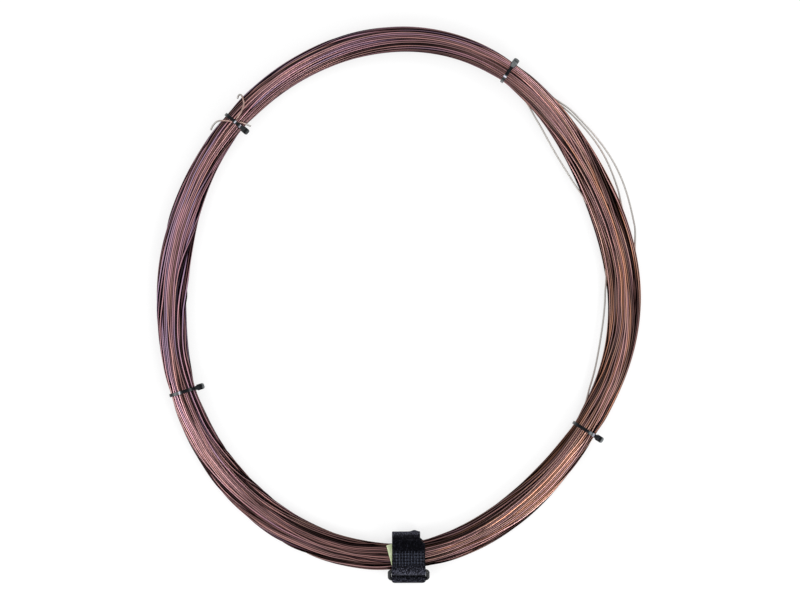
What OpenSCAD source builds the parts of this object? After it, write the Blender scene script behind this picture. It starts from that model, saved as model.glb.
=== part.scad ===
/* [Wire] */
// Diameter of the bare copper wire
wire_size = 1.3; // [1.1:0.05:1.5]
// Number of turns of wire in the coil
wire_turns = 128; // [110:2:146]
// Share of the bundle that is metal where a binding draws it tight
tied_packing = 0.8; // [0.74:0.01:0.86]
// Share of the bundle that is metal halfway between two bindings
loose_packing = 0.68; // [0.6:0.01:0.74]

/* [Ring] */
// Mean radius of the ring, at the middle of the bundle
ring_radius = 182.5; // [150:0.5:220]
// How much longer the ring is one way than the other, each side
oval_stretch = 12.4; // [6:0.1:16]
// Direction of the ring's long way, from +X
oval_angle = 85; // [75:1:95]
// Depth of the ring's slight egg shape
egg_stretch = 1.5; // [0:0.1:3]
// Direction of the blunt end of the egg, from +X
egg_angle = -10; // [-20:1:20]
// Depth of the ring's slight squareness
square_stretch = 2.0; // [0:0.1:3]
// Direction of a corner of the squareness, from +X
square_angle = -7; // [-20:1:20]
// Depth of the five slight bows that the ring makes between its bindings
bow_stretch = 1.1; // [0:0.1:2]
// Direction of the first bow, from +X
bow_angle = -5; // [-15:1:15]

/* [Bundle] */
// Width of the bundle under the upper right tie
upper_right_width = 16.0; // [15:0.1:17.5]
// Width of the bundle under the upper left tie
upper_left_width = 15.8; // [15:0.1:17.5]
// Width of the bundle under the lower left tie
lower_left_width = 19.2; // [17:0.1:21]
// Width of the bundle under the strap
strapped_width = 20.0; // [18:0.1:22]
// Width of the bundle under the lower right tie
lower_right_width = 18.2; // [17:0.1:20]
// How much wider the bundle springs just clear of a binding
sprung_width = 1.6; // [0.4:0.1:2.2]
// How much the bundle spreads along the top
top_spread = 2.1; // [0:0.1:5]
// How much the bundle spreads along the left side
left_spread = 5.0; // [2:0.1:8]
// How much the bundle spreads between the lower left tie and the strap
lower_left_spread = 3.0; // [1:0.1:6]
// How much the bundle spreads between the strap and the lower right tie
lower_right_spread = 2.8; // [1:0.1:6]
// How much the bundle spreads along the right side
right_spread = 8.0; // [4:0.1:10]
// Number of groups that the turns lie in, round the bundle
turn_groups = 18; // [12:1:20]
// Depth of the gaps between the groups
group_gap = 0.8; // [0.3:0.05:1]
// How many groups the lay shifts by in one round of the ring
group_lay = 5; // [0:1:8]
// Depth by which the bundle's own weight flattens its underside
flat_depth = 0.9; // [0.9:0.05:1.5]

/* [Cable ties] */
// Direction of the upper right tie from the middle of the ring
upper_right_angle = 63.4; // [58:0.1:68]
// Direction of the upper left tie
upper_left_angle = 132.3; // [127:0.1:137]
// Direction of the lower left tie
lower_left_angle = 203.8; // [199:0.1:209]
// Direction of the lower right tie
lower_right_angle = 325.3; // [320:0.1:330]
// Width of a tie's band
tie_width = 2.5; // [2.2:0.1:3.6]
// Thickness of a tie's band
tie_thickness = 1.1; // [0.9:0.05:1.3]
// Length of a tie's head, in line with the band
tie_head_length = 5.4; // [4.8:0.1:6]
// Width of a tie's head, across the band
tie_head_width = 4.6; // [4.4:0.1:6]
// Height of a tie's head above the inner face of the band
tie_head_height = 3.2; // [2.8:0.1:4]
// Length over which the band widens into the head
tie_neck = 2.2; // [1:0.1:3]
// Length of the trimmed tail that stands out of the head
tie_stub = 0.4; // [0.1:0.1:1.5]
// How far the slot of the upper right tie's head lies past the edge of the bundle
upper_right_past = -0.4; // [-0.8:0.1:1]
// How far the slot of the upper left tie's head lies past the edge
upper_left_past = 2.8; // [2:0.1:5]
// How far the slot of the lower left tie's head lies past the edge
lower_left_past = 4.1; // [2:0.1:5]
// How far the slot of the lower right tie's head lies past the edge
lower_right_past = 3.3; // [2:0.1:5]
// Slope at which the upper right tie runs down to its head
upper_right_slope = 34; // [28:1:38]
// Slope at which the other ties run down to their heads
tie_slope = 18; // [12:1:26]

/* [Strap] */
// Direction of the strap from the middle of the ring
strap_angle = 273; // [268:0.1:278]
// Width of the strap
strap_width = 25; // [20:0.5:30]
// Turn of the strap against the bundle, seen from above
strap_skew = 6; // [0:0.5:7]
// Thickness of the strap
strap_thickness = 1.5; // [1.2:0.05:1.6]
// Room left inside the loop of the strap, on the side of the ring's middle
strap_slack = 6.0; // [4.5:0.1:8]
// Diameter of the bars of the buckle
buckle_bar = 2.8; // [2.4:0.1:3]
// Distance between the middles of the buckle's two long bars
buckle_pitch = 9.0; // [8.8:0.1:10]
// How far each end bar of the buckle stands off the strap's edge
buckle_side_gap = 0.6; // [0.4:0.05:1]

/* [Paper slip] */
// Length of the paper slip, across the bundle
slip_length = 16; // [12:0.5:18]
// Width of the paper slip, along the bundle
slip_width = 18; // [14:0.5:22]
// Thickness of the paper slip
slip_thickness = 0.3; // [0.2:0.05:0.4]
// Turn of the slip against the strap
slip_turn = 9; // [6:1:14]
// How far the corner of the slip shows past the edge of the strap
slip_show = 3.4; // [1:0.1:5]

/* [Loose turns] */
// Stand-off of the widest loose turn outside the ring
outer_loose_stand = 6.0; // [2:0.1:8]
// Stand-off of the loose turn between it and the bundle
middle_loose_stand = 3.9; // [1.5:0.1:5]
// Stand-off of the upper loose turn inside the ring
upper_loose_stand = 3.6; // [1:0.1:6]
// Stand-off of the lower loose turn inside the ring
lower_loose_stand = 3.1; // [1:0.1:6]

/* [Hidden] */
full_turn = 360;

// Clearance between a binding and what it binds
seat_clearance = 0.25;
// Share of its own box that the section of the bundle fills
section_fill = 0.82;
// Roundness of the section: 2 is an ellipse, more is squarer
section_power = 2.4;
// Points of the section's outline for each group of turns
points_per_group = 3;
// Stations of the bundle in one round of the ring
stations_per_turn = 80;
// Length over which the bundle comes down from a binding to the floor
settle_length = 32;
// Length over which the bundle springs wider beside a binding
spring_length = 14;
// Points of a binding's outline round the bundle
band_points = 48;

metal_area = wire_turns * PI * pow(wire_size / 2, 2);
tied_area = metal_area / tied_packing;
loose_area = metal_area / loose_packing;

// ---- Path of the ring ----

function ring_reach(angle) =
    ring_radius
    + oval_stretch * cos(2 * (angle - oval_angle))
    + egg_stretch * cos(3 * (angle - egg_angle))
    + square_stretch * cos(4 * (angle - square_angle))
    + bow_stretch * cos(5 * (angle - bow_angle));
function ring_point(angle) = ring_reach(angle) * [cos(angle), sin(angle)];
function heading_between(from, to) = atan2(to.y - from.y, to.x - from.x) - 90;
// Direction square to the path, away from the ring's middle
function outward_heading(angle) = heading_between(ring_point(angle - 0.5), ring_point(angle + 0.5));
function direction(heading) = [cos(heading), sin(heading)];

// ---- Bindings, in order round the ring: direction, bundle width, half length, lift ----

tie_lift = tie_thickness + seat_clearance;
strap_lift = strap_thickness + seat_clearance;
tie_hold = tie_width / 2 + 0.9;
strap_hold = strap_width / 2 + 2;
BINDINGS = [
    [upper_right_angle, upper_right_width, tie_hold, tie_lift],
    [upper_left_angle, upper_left_width, tie_hold, tie_lift],
    [lower_left_angle, lower_left_width, tie_hold, tie_lift],
    [strap_angle, strapped_width, strap_hold, strap_lift],
    [lower_right_angle, lower_right_width, tie_hold, tie_lift]
];
UPPER_RIGHT = 0;
UPPER_LEFT = 1;
LOWER_LEFT = 2;
STRAP = 3;
LOWER_RIGHT = 4;
SPREADS = [top_spread, left_spread, lower_left_spread, lower_right_spread, right_spread];
spans = len(BINDINGS);

function hold_angle(binding) = asin(binding[2] / ring_reach(binding[0]));
function next_binding(i) = BINDINGS[(i + 1) % spans];
function span_start(i) = BINDINGS[i][0] + hold_angle(BINDINGS[i]);
function span_end(i) =
    next_binding(i)[0] - hold_angle(next_binding(i)) + (i == spans - 1 ? full_turn : 0);
function smooth_step(t) = t * t * (3 - 2 * t);
function mix(from, to, t) = from + (to - from) * t;
// Falls from 1 at a binding to 0 at a length from it
function fading(distance, length) =
    distance >= length ? 0 : (1 + cos(180 * distance / length)) / 2;

// Width, height and floor of the bundle at a share t of a span
function bundle_shape(i, t) =
    let(
        run = (span_end(i) - span_start(i)) * PI / 180 * ring_radius,
        swell = pow(sin(180 * t), 2),
        open_width = mix(BINDINGS[i][1], next_binding(i)[1], smooth_step(t)) + sprung_width
            + SPREADS[i] * swell,
        drawn = fading(t * run, spring_length) + fading((1 - t) * run, spring_length),
        height = mix(tied_area, loose_area, swell) / (section_fill * open_width),
        lift = max(
            BINDINGS[i][3] * fading(t * run, settle_length),
            next_binding(i)[3] * fading((1 - t) * run, settle_length)
        )
    )
    [open_width - sprung_width * drawn, height, lift];
function bound_shape(i) = bundle_shape(i, 0);

// Span and share of it at any direction
function wrapped(angle) = angle < span_start(0) ? wrapped(angle + full_turn) : angle;
function span_at(angle, i = 0) =
    angle <= span_end(i) || i == spans - 1 ? i : span_at(angle, i + 1);
function share_at(i, angle) = (angle - span_start(i)) / (span_end(i) - span_start(i));
function shape_at(angle) =
    let(whole = wrapped(angle), i = span_at(whole))
    bundle_shape(i, min(1, max(0, share_at(i, whole))));

// ---- Section of the bundle: x away from the ring's middle, y up ----

function rounded(value) = sign(value) * pow(abs(value), 2 / section_power);
function envelope(shape, phi) =
    let(
        middle = shape[2] + shape[1] / 2 - flat_depth,
        y = middle + rounded(sin(phi)) * shape[1] / 2
    )
    [rounded(cos(phi)) * shape[0] / 2, max(shape[2], y)];
function section_middle(shape) = [0, shape[2] + (shape[1] - flat_depth) / 2];
function drawn_in(point, middle, depth) =
    let(away = point - middle)
    middle + away * (1 - depth / norm(away));

groove_points = turn_groups * points_per_group;
function section_outline(shape, shift) = [
    for (k = [0 : groove_points - 1])
        let(
            phi = full_turn * (k / groove_points + shift / turn_groups),
            point = envelope(shape, phi),
            sunk = drawn_in(point, section_middle(shape), group_gap)
        )
        k % points_per_group > 0 ? point : [sunk.x, max(shape[2], sunk.y)]
];
function set_upright(angle, point) =
    let(spot = ring_point(angle) + point.x * direction(outward_heading(angle)))
    [spot.x, spot.y, point.y];

// ---- Swept solids ----

function ring_faces(rings, points) = [
    for (r = [0 : rings - 2], k = [0 : points - 1])
        let(a = r * points + k, b = r * points + (k + 1) % points)
        each [[a, a + points, b], [b, a + points, b + points]]
];
function closing_faces(rings, points) = [
    for (k = [0 : points - 1])
        let(a = (rings - 1) * points + k, b = (rings - 1) * points + (k + 1) % points)
        each [[a, k, b], [b, k, (k + 1) % points]]
];
function cap_faces(rings, points) = [
    [for (k = [0 : points - 1]) k],
    [for (k = [points - 1 : -1 : 0]) (rings - 1) * points + k]
];

wire_sides = 8;
module wire(route) {
    last = len(route) - 1;
    points = [
        for (i = [0 : last])
            let(
                along = route[min(i + 1, last)] - route[max(i - 1, 0)],
                ahead = along / norm(along),
                across = cross(ahead, [0, 0, 1]),
                side = across / norm(across),
                above = cross(side, ahead)
            )
            for (k = [0 : wire_sides - 1])
                let(turn = full_turn * k / wire_sides)
                route[i] + wire_size / 2 * (side * cos(turn) + above * sin(turn))
    ];
    polyhedron(
        points,
        concat(ring_faces(last + 1, wire_sides), cap_faces(last + 1, wire_sides)),
        convexity = 6
    );
}

// ---- Route of the strap, in the section: x outward, y up ----

strap_shape = bound_shape(STRAP);
half_strap = strap_thickness / 2;
strap_top = strap_shape[2] + strap_shape[1] - flat_depth;
// Clearance between the slip and the bundle, which spreads a little beside the strap
slip_seat = 0.45;
// Middle line of the strap's first layer over the bundle, and of its tail over that layer
first_layer = strap_top + slip_seat + slip_thickness + seat_clearance + half_strap;
tail_layer = first_layer + strap_thickness + seat_clearance;
// Radius of the strap's middle line where it bends round a bar of the buckle
bar_bend = buckle_bar / 2 + seat_clearance + half_strap;
buckle_tilt = 42;
bar_run = buckle_pitch * direction(-buckle_tilt);
inner_bar = [strapped_width / 2 + 1.5, first_layer + 0.1];
outer_bar = inner_bar + bar_run;
buckle_reach = outer_bar.x + bar_bend + half_strap - strapped_width / 2;
inner_side = -strapped_width / 2 - strap_slack - half_strap;

// ---- Whole frame: the origin is on the floor under the middle of the outline ----

reach_samples = [for (angle = [0 : 3 : full_turn - 3])
    set_upright(angle, [shape_at(angle)[0] / 2, 0])];
low_reach = ring_point(strap_angle).y - strapped_width / 2;
middle_x = (max([for (p = reach_samples) p.x]) + min([for (p = reach_samples) p.x])) / 2;
high_reach = max([for (p = reach_samples) p.y]);
middle_y = (high_reach + low_reach - buckle_reach) / 2;

module in_frame() {
    translate([-middle_x, -middle_y, 0])
        children();
}

// Places what is drawn in the section of a bound stretch: x outward, y up, z along the bundle
module at_binding(i, skew = 0) {
    angle = BINDINGS[i][0];
    hold = hold_angle(BINDINGS[i]);
    before = ring_point(angle - hold);
    after = ring_point(angle + hold);
    middle = (before + after) / 2;
    in_frame()
        translate([middle.x, middle.y, 0])
            rotate([0, 0, heading_between(before, after) - skew])
                rotate([90, 0, 0])
                    children();
}

// ---- Wire coil ----

function span_steps(i) =
    max(4, round((span_end(i) - span_start(i)) / full_turn * stations_per_turn));
STATIONS = [
    for (i = [0 : spans - 1], k = [0 : span_steps(i)])
        let(t = k / span_steps(i))
        [mix(span_start(i), span_end(i), t), bundle_shape(i, t)]
];

module wire_coil() {
    points = [
        for (station = STATIONS)
            let(shift = group_lay * (station[0] - STATIONS[0][0]) / full_turn)
            for (p = section_outline(station[1], shift))
                set_upright(station[0], p)
    ];
    // The lay has shifted by whole groups when the ring closes, so the closing faces skip as many
    count = len(STATIONS);
    skipped = group_lay * points_per_group;
    joined = [
        for (k = [0 : groove_points - 1])
            let(
                a = (count - 1) * groove_points + k,
                b = (count - 1) * groove_points + (k + 1) % groove_points,
                c = (k + skipped) % groove_points,
                d = (k + 1 + skipped) % groove_points
            )
            each [[a, c, b], [b, c, d]]
    ];
    color("#8a5a4c")
        in_frame()
            polyhedron(points, concat(ring_faces(count, groove_points), joined), convexity = 6);
}

// ---- Loose turns ----

loose_steps = 24;
wire_seat = seat_clearance + wire_size / 2;
wire_step = seat_clearance + wire_size;
// Each loose turn: where it leaves and rejoins the bundle, its side, how far it stands off,
// and how far its ends lie from the bundle
LOOSE = [
    [10, 54, 1, outer_loose_stand, wire_seat + wire_step],
    [20, 53, 1, middle_loose_stand, wire_seat],
    [26, 58, -1, upper_loose_stand, wire_seat],
    [-31, 8, -1, lower_loose_stand, wire_seat]
];
function loose_route(turn) = [
    for (k = [0 : loose_steps])
        let(
            t = k / loose_steps,
            angle = mix(turn[0], turn[1], t),
            shape = shape_at(angle),
            stand = turn[4] + turn[3] * pow(sin(180 * t), 2),
            x = turn[2] * (shape[0] / 2 + stand)
        )
        set_upright(angle, [x, section_middle(shape).y])
];

module loose_turns() {
    color("#9c6a5a")
        in_frame()
            for (turn = LOOSE)
                wire(loose_route(turn));
}

// ---- Wire end ----

// Stretches of the free end round the upper left tie, as points by how far they lie
// outward, along the bundle away from the top, and above the crest of the bundle
end_crest = tie_lift + bound_shape(UPPER_LEFT)[1] - flat_depth + wire_size / 2;
SIDE_LOOP = [
    [9.9, 16.4, -8.7], [10.3, 15, -8.2], [10.6, 13, -7.2], [10.6, 10.6, -6],
    [9.9, 8.6, -4.6], [8.6, 6.9, -2.9], [6.6, 5.2, -1.2], [4.6, 3.6, -0.3]
];
TIP = [[-4.6, -2.9, -0.3], [-6.6, -3.4, -1.3], [-9.6, -4.5, -2.7], [-12, -5.2, -3.5]];
EDGE_LOOP = [
    [9.9, -15, -8.3], [10.5, -16.6, -7.2], [10.2, -18, -5.8], [9, -18.6, -4], [7.2, -18.1, -2.4],
    [5.5, -17.1, -1.2], [3.5, -15.6, -0.4], [1.8, -13.6, 0], [0.9, -11, 0.1], [0.2, -8.8, 0.2]
];
function spline_point(a, b, c, d, t) = 0.5 * (
    2 * b + (c - a) * t + (2 * a - 5 * b + 4 * c - d) * t * t
    + (3 * b - a - 3 * c + d) * t * t * t
);
function spline(points, steps) =
    let(last = len(points) - 1)
    [
        for (i = [0 : last - 1], k = [0 : steps - 1])
            spline_point(
                points[max(i - 1, 0)], points[i], points[i + 1], points[min(i + 2, last)], k / steps
            ),
        points[last]
    ];
spline_steps = 4;

module wire_end() {
    color("#9c6a5a")
        at_binding(UPPER_LEFT)
            for (route = [SIDE_LOOP, TIP, EDGE_LOOP])
                wire(spline([for (p = route) [p.x, end_crest + p.z, -p.y]], spline_steps));
}

// ---- Cable ties ----

function band_outline(shape, grow) =
    let(
        base = [for (k = [0 : band_points - 1]) envelope(shape, full_turn * (k + 0.5) / band_points)]
    )
    [
        for (k = [0 : band_points - 1])
            let(
                before = base[(k + band_points - 1) % band_points],
                after = base[(k + 1) % band_points],
                along = (after - before) / norm(after - before)
            )
            base[k] + grow * [along.y, -along.x]
    ];

module band(shape, inner, outer, width) {
    translate([0, 0, -width / 2])
        linear_extrude(width)
            difference() {
                polygon(band_outline(shape, outer));
                polygon(band_outline(shape, inner));
            }
}

// Angle round the section where its outline has come to run down at a slope
function slope_phi(shape, slope) =
    atan(1 / pow(
        tan(slope) * shape[0] / shape[1],
        section_power / (2 * (section_power - 1))
    ));
// Point of the outline, grown by so much
function grown(shape, phi, grow) =
    let(
        along = envelope(shape, phi + 1) - envelope(shape, phi - 1),
        ahead = along / norm(along)
    )
    envelope(shape, phi) + grow * [ahead.y, -ahead.x];
function crossed(a, b) = a.x * b.y - a.y * b.x;
function on_line(from, along, reach) = from + along * (reach - from.x) / along.x;
// Where the band's free end, coming down from the slot, meets the bundle
function lower_phi(shape, slot, grow) =
    let(
        tries = [
            for (phi = [272 : 2 : 376])
                let(away = grown(shape, phi, grow) - slot)
                [atan2(away.y, away.x) + full_turn, phi]
        ],
        furthest = max([for (try = tries) try[0]])
    )
    [for (try = tries) if (try[0] == furthest) try[1]][0];
// The band's line: tangent off the shoulder to the head's slot, and back to the underside
function tie_outline(shape, slope, reach, grow) =
    let(
        middle = seat_clearance + tie_thickness / 2,
        ahead = direction(-slope),
        upper = slope_phi(shape, slope),
        slot = on_line(grown(shape, upper, middle), ahead, reach),
        lower = lower_phi(shape, slot, middle),
        down = grown(shape, lower, middle) - slot,
        from = grown(shape, upper, grow),
        to = grown(shape, lower, grow)
    )
    [
        for (k = [0 : band_points]) grown(shape, mix(upper, lower, k / band_points), grow),
        from + ahead * crossed(to - from, down) / crossed(ahead, down)
    ];

// Head from above: the band widens into it, and its far end is rounded
head_round = 1.5;
head_corner = 0.5;
HEAD_PLAN = [
    [-tie_head_length / 2 - tie_neck, -tie_width / 2],
    for (turn = [180 : 30 : 270])
        [head_corner - tie_head_length / 2, head_corner - tie_head_width / 2]
            + head_corner * direction(turn),
    for (turn = [270 : 15 : 360])
        [tie_head_length / 2 - head_round, head_round - tie_head_width / 2]
            + head_round * direction(turn),
    for (turn = [0 : 15 : 90])
        [tie_head_length / 2 - head_round, tie_head_width / 2 - head_round]
            + head_round * direction(turn),
    for (turn = [90 : 30 : 180])
        [head_corner - tie_head_length / 2, tie_head_width / 2 - head_corner]
            + head_corner * direction(turn),
    [-tie_head_length / 2 - tie_neck, tie_width / 2]
];
head_bevel = 0.4;
slot_clearance = 0.3;
tail_thickness = 0.9;
pawl_height = 1.0;
// Head with the trimmed tail in its slot: x is in line with the band and y away from the bundle
module tie_head() {
    slot_length = tail_thickness + 2 * slot_clearance;
    slot_width = tie_width + 2 * slot_clearance;
    difference() {
        rotate([-90, 0, 0]) {
            linear_extrude(tie_head_height - head_bevel)
                polygon(HEAD_PLAN);
            translate([0, 0, tie_head_height - head_bevel])
                linear_extrude(head_bevel, scale = [0.92, 0.84])
                    polygon(HEAD_PLAN);
        }
        translate([0, tie_head_height, 0])
            cube([slot_length, tie_head_height, slot_width], center = true);
    }
    // Tail, and the pawl that holds it
    translate([-tail_thickness / 2, tie_thickness / 2, -tie_width / 2])
        cube([tail_thickness, tie_head_height + tie_stub - tie_thickness / 2, tie_width]);
    translate([tail_thickness / 2 - 0.1, tie_head_height - head_bevel - pawl_height, -tie_width / 4])
        cube([slot_clearance + 0.3, pawl_height, tie_width / 2]);
}

// Tie on a binding, its head on one side of the bundle, so far past the edge and sloping down
module cable_tie(i, side, past, slope) {
    shape = bound_shape(i);
    reach = shape[0] / 2 + past;
    slot = on_line(grown(shape, slope_phi(shape, slope), seat_clearance), direction(-slope), reach);
    color("#1b1c1f")
        at_binding(i)
            mirror([side < 0 ? 1 : 0, 0, 0]) {
                translate([0, 0, -tie_width / 2])
                    linear_extrude(tie_width)
                        difference() {
                            polygon(tie_outline(shape, slope, reach, seat_clearance + tie_thickness));
                            polygon(tie_outline(shape, slope, reach, seat_clearance));
                        }
                translate([slot.x, slot.y, 0])
                    rotate([0, 0, -slope])
                        tie_head();
            }
}

module upper_right_tie() cable_tie(UPPER_RIGHT, 1, upper_right_past, upper_right_slope);
module upper_left_tie() cable_tie(UPPER_LEFT, -1, upper_left_past, tie_slope);
module lower_left_tie() cable_tie(LOWER_LEFT, -1, lower_left_past, tie_slope);
module lower_right_tie() cable_tie(LOWER_RIGHT, 1, lower_right_past, tie_slope);

// ---- Strap and buckle ----

function arc_points(middle, radius, from, to, steps) = [
    for (k = [0 : steps])
        let(turn = mix(from, to, k / steps))
        middle + radius * [cos(turn), sin(turn)]
];
function above_floor(route) = [for (p = route) [p.x, max(half_strap, p.y)]];
// From the outer bar, under the bundle, over it, round the inner bar and back over itself
STRAP_ROUTE = concat(
    above_floor(spline([
        outer_bar + bar_bend * direction(-58),
        [strapped_width / 2 + 3.4, half_strap + 2.4],
        [strapped_width / 2 - 2, half_strap],
        [0, half_strap],
        [-strapped_width / 2, half_strap],
        [inner_side + 3, half_strap + 1.2],
        [inner_side, strap_top * 0.5],
        [inner_side + 3, first_layer - 1.6],
        [inner_side + 8, first_layer],
        [0, first_layer],
        [strapped_width / 4, first_layer]
    ], 4)),
    arc_points(inner_bar, bar_bend, 225, 440, 14),
    spline([
        [strapped_width / 4, tail_layer],
        [0, tail_layer],
        [inner_side + 8, tail_layer],
        [inner_side + 4.4, tail_layer - 0.3]
    ], 4)
);
// The strap's end, turned round the outer bar and sewn down
HEM_ROUTE = [
    outer_bar + bar_bend * direction(-100),
    [strapped_width / 2 + 4.2, half_strap + 2.4 + strap_thickness],
    [strapped_width / 2 + 1.1, half_strap + 0.7 + strap_thickness]
];

function ribbon_side(route, offset) =
    let(last = len(route) - 1)
    [
        for (i = [0 : last])
            let(
                along = route[min(i + 1, last)] - route[max(i - 1, 0)],
                ahead = along / norm(along)
            )
            route[i] + offset * [-ahead.y, ahead.x]
    ];
function ribbon(route, thickness) =
    let(
        left = ribbon_side(route, thickness / 2),
        right = ribbon_side(route, -thickness / 2),
        last = len(route) - 1
    )
    concat(left, [for (i = [last : -1 : 0]) right[i]]);

module strap_run(route) {
    linear_extrude(strap_width)
        polygon(ribbon(route, strap_thickness));
}

module hook_loop_strap() {
    color("#17181d")
        at_binding(STRAP, strap_skew)
            translate([0, 0, -strap_width / 2]) {
                strap_run(STRAP_ROUTE);
                strap_run(HEM_ROUTE);
                translate(outer_bar)
                    difference() {
                        cylinder(h = strap_width, r = bar_bend + half_strap, $fn = 48);
                        cylinder(h = 3 * strap_width, r = bar_bend - half_strap, center = true, $fn = 48);
                    }
            }
}

// Radius of the bar's middle line round a corner of the buckle
buckle_corner = buckle_bar / 2 + 0.8;
module buckle_bars(length, width) {
    for (x = [-1, 1])
        translate([x * length / 2, 0, -(width / 2 - buckle_corner)])
            cylinder(h = width - 2 * buckle_corner, d = buckle_bar, $fn = 32);
    for (z = [-1, 1])
        translate([-(length / 2 - buckle_corner), 0, z * width / 2])
            rotate([0, 90, 0])
                cylinder(h = length - 2 * buckle_corner, d = buckle_bar, $fn = 32);
}

module buckle_corners(length, width) {
    for (x = [-1, 1], z = [-1, 1])
        translate([x * (length / 2 - buckle_corner), 0, z * (width / 2 - buckle_corner)])
            rotate([90, 0, 0])
                rotate([0, 0, atan2(z, x) - 45])
                    rotate_extrude(angle = 90, $fn = 48)
                        translate([buckle_corner, 0])
                            circle(d = buckle_bar, $fn = 32);
}

module strap_buckle() {
    middle = (inner_bar + outer_bar) / 2;
    width = strap_width + 2 * buckle_side_gap + buckle_bar;
    color("#2a2b2f")
        at_binding(STRAP, strap_skew)
            translate([middle.x, middle.y, 0])
                rotate([0, 0, -buckle_tilt]) {
                    buckle_bars(buckle_pitch, width);
                    buckle_corners(buckle_pitch, width);
                }
}

// ---- Paper slip ----

// The slip's inner corner lies just inside the edge of the bundle and shows past the strap
corner_inset = 0.9;
slip_corner = [
    -slip_length / 2 * cos(slip_turn) + slip_width / 2 * sin(slip_turn),
    slip_length / 2 * sin(slip_turn) + slip_width / 2 * cos(slip_turn)
];
slip_middle = [corner_inset - strapped_width / 2, strap_width / 2 + slip_show] - slip_corner;

module paper_slip() {
    color("#c3cf9f")
        at_binding(STRAP)
            intersection() {
                band(strap_shape, slip_seat, slip_seat + slip_thickness, 2 * strap_width);
                translate([slip_middle.x, strap_top, slip_middle.y])
                    rotate([0, slip_turn, 0])
                        cube([slip_length, strap_top, slip_width], center = true);
            }
}

wire_coil();
loose_turns();
wire_end();
upper_right_tie();
upper_left_tie();
lower_left_tie();
lower_right_tie();
hook_loop_strap();
strap_buckle();
paper_slip();
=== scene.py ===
"""Copper wire coil: lays its turns, dresses its ties and strap, and sets it on a pale studio floor."""

import math

import bpy
import numpy as np
from bpy.props import FloatProperty, FloatVectorProperty, IntProperty, PointerProperty
from bpy.types import Operator, Panel, PropertyGroup
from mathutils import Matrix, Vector


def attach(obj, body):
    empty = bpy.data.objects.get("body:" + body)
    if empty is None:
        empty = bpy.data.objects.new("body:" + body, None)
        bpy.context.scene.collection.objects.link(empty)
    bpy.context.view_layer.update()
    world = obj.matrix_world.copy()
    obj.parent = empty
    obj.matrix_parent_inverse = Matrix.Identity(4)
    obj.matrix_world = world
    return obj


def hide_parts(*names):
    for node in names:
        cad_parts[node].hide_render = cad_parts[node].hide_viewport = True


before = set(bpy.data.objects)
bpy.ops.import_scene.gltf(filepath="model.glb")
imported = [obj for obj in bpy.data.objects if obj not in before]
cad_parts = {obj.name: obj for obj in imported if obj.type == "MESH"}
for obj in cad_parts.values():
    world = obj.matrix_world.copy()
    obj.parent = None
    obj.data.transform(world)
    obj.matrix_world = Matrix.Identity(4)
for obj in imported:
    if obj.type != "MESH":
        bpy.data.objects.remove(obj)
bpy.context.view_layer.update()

bl_info = {
    "name": "Copper wire coil",
    "version": (1, 0, 0),
    "blender": (4, 5, 0),
    "location": "View3D > Sidebar > Wire coil",
    "description": "Lays the turns of a bound wire coil and dresses its ties, strap and slip",
    "category": "Object",
}

MM = 0.001
FULL_TURN = 360.0
COIL_PIECES = 7
PATTERN_MAP = "OFBake"
# What sets the tarnish of each turn and each hank apart, in the space of its pattern
TURN_SHIFT, TURN_STEP, HANK_STEP = 0.31, 0.173, 0.67

# ---- The ring and its bindings, as the part has them ----

RING_RADIUS = 182.5 * MM
# Each departure of the ring from a circle: depth, lobes in one round, direction of a lobe
RING_LOBES = (
    (12.4 * MM, 2, 85),
    (1.5 * MM, 3, -10),
    (2.0 * MM, 4, -7),
    (1.1 * MM, 5, -5),
)
# Middle of the ring's outline from the point its lobes are drawn from
RING_SHIFT = np.array((2.7775 * MM, -5.17038 * MM))
TIE_HOLD = 2.15 * MM
STRAP_HOLD = 14.5 * MM
TIE_LIFT = 1.35 * MM
STRAP_LIFT = 1.75 * MM
# Each binding: direction, width of the bundle, half length, lift off the floor, spread beyond
BINDINGS = (
    (63.4, 16.0 * MM, TIE_HOLD, TIE_LIFT, 2.1 * MM),
    (132.3, 15.8 * MM, TIE_HOLD, TIE_LIFT, 5.0 * MM),
    (203.8, 19.2 * MM, TIE_HOLD, TIE_LIFT, 3.0 * MM),
    (273.0, 20.0 * MM, STRAP_HOLD, STRAP_LIFT, 2.8 * MM),
    (325.3, 18.2 * MM, TIE_HOLD, TIE_LIFT, 8.0 * MM),
)
UPPER_RIGHT, UPPER_LEFT, LOWER_LEFT, STRAP, LOWER_RIGHT = range(5)
# Painted sheen on each tie: how pale its head is, how much paler at the far end, and painted glints
# on its band, as places outward from the ring's middle line in mm, their reach and amount
TIE_SHEEN_MARKS = {
    UPPER_RIGHT: (1.0, 0.0, ((-4.8, 0.8, 2.2), (-8.6, 1.0, 1.0))),
    UPPER_LEFT: (0.12, 0.3, ((-1.3, 0.6, 1.8), (-6.1, 0.8, 2.3), (7.5, 1.2, 0.4))),
    LOWER_LEFT: (0.05, 1.0, ((2.3, 0.9, 1.9), (5.4, 1.6, 1.2), (-6.0, 0.8, 0.5))),
    LOWER_RIGHT: (0.02, 1.1, ((-9.8, 1.2, 0.7), (4.6, 1.2, 1.2), (7.4, 1.1, 2.2))),
}
STRAP_SKEW = 6.0
TIED_PACKING = 0.8
LOOSE_PACKING = 0.68
SECTION_FILL = 0.82
SECTION_POWER = 2.4
FLAT_DEPTH = 0.9 * MM
SETTLE_LENGTH = 32 * MM
SPRUNG_WIDTH = 1.6 * MM
SPRING_LENGTH = 14 * MM
SEAT = 0.25 * MM


def unit(vectors):
    """Vectors of length one in the same directions."""
    return vectors / np.linalg.norm(vectors, axis=-1, keepdims=True)


def rightward(vectors):
    """Flat directions square to vectors, on their right."""
    along = unit(vectors)
    return np.stack((along[..., 1], -along[..., 0]), -1)


def turned(length, degrees):
    return length * np.array((math.cos(math.radians(degrees)), math.sin(math.radians(degrees))))


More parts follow.
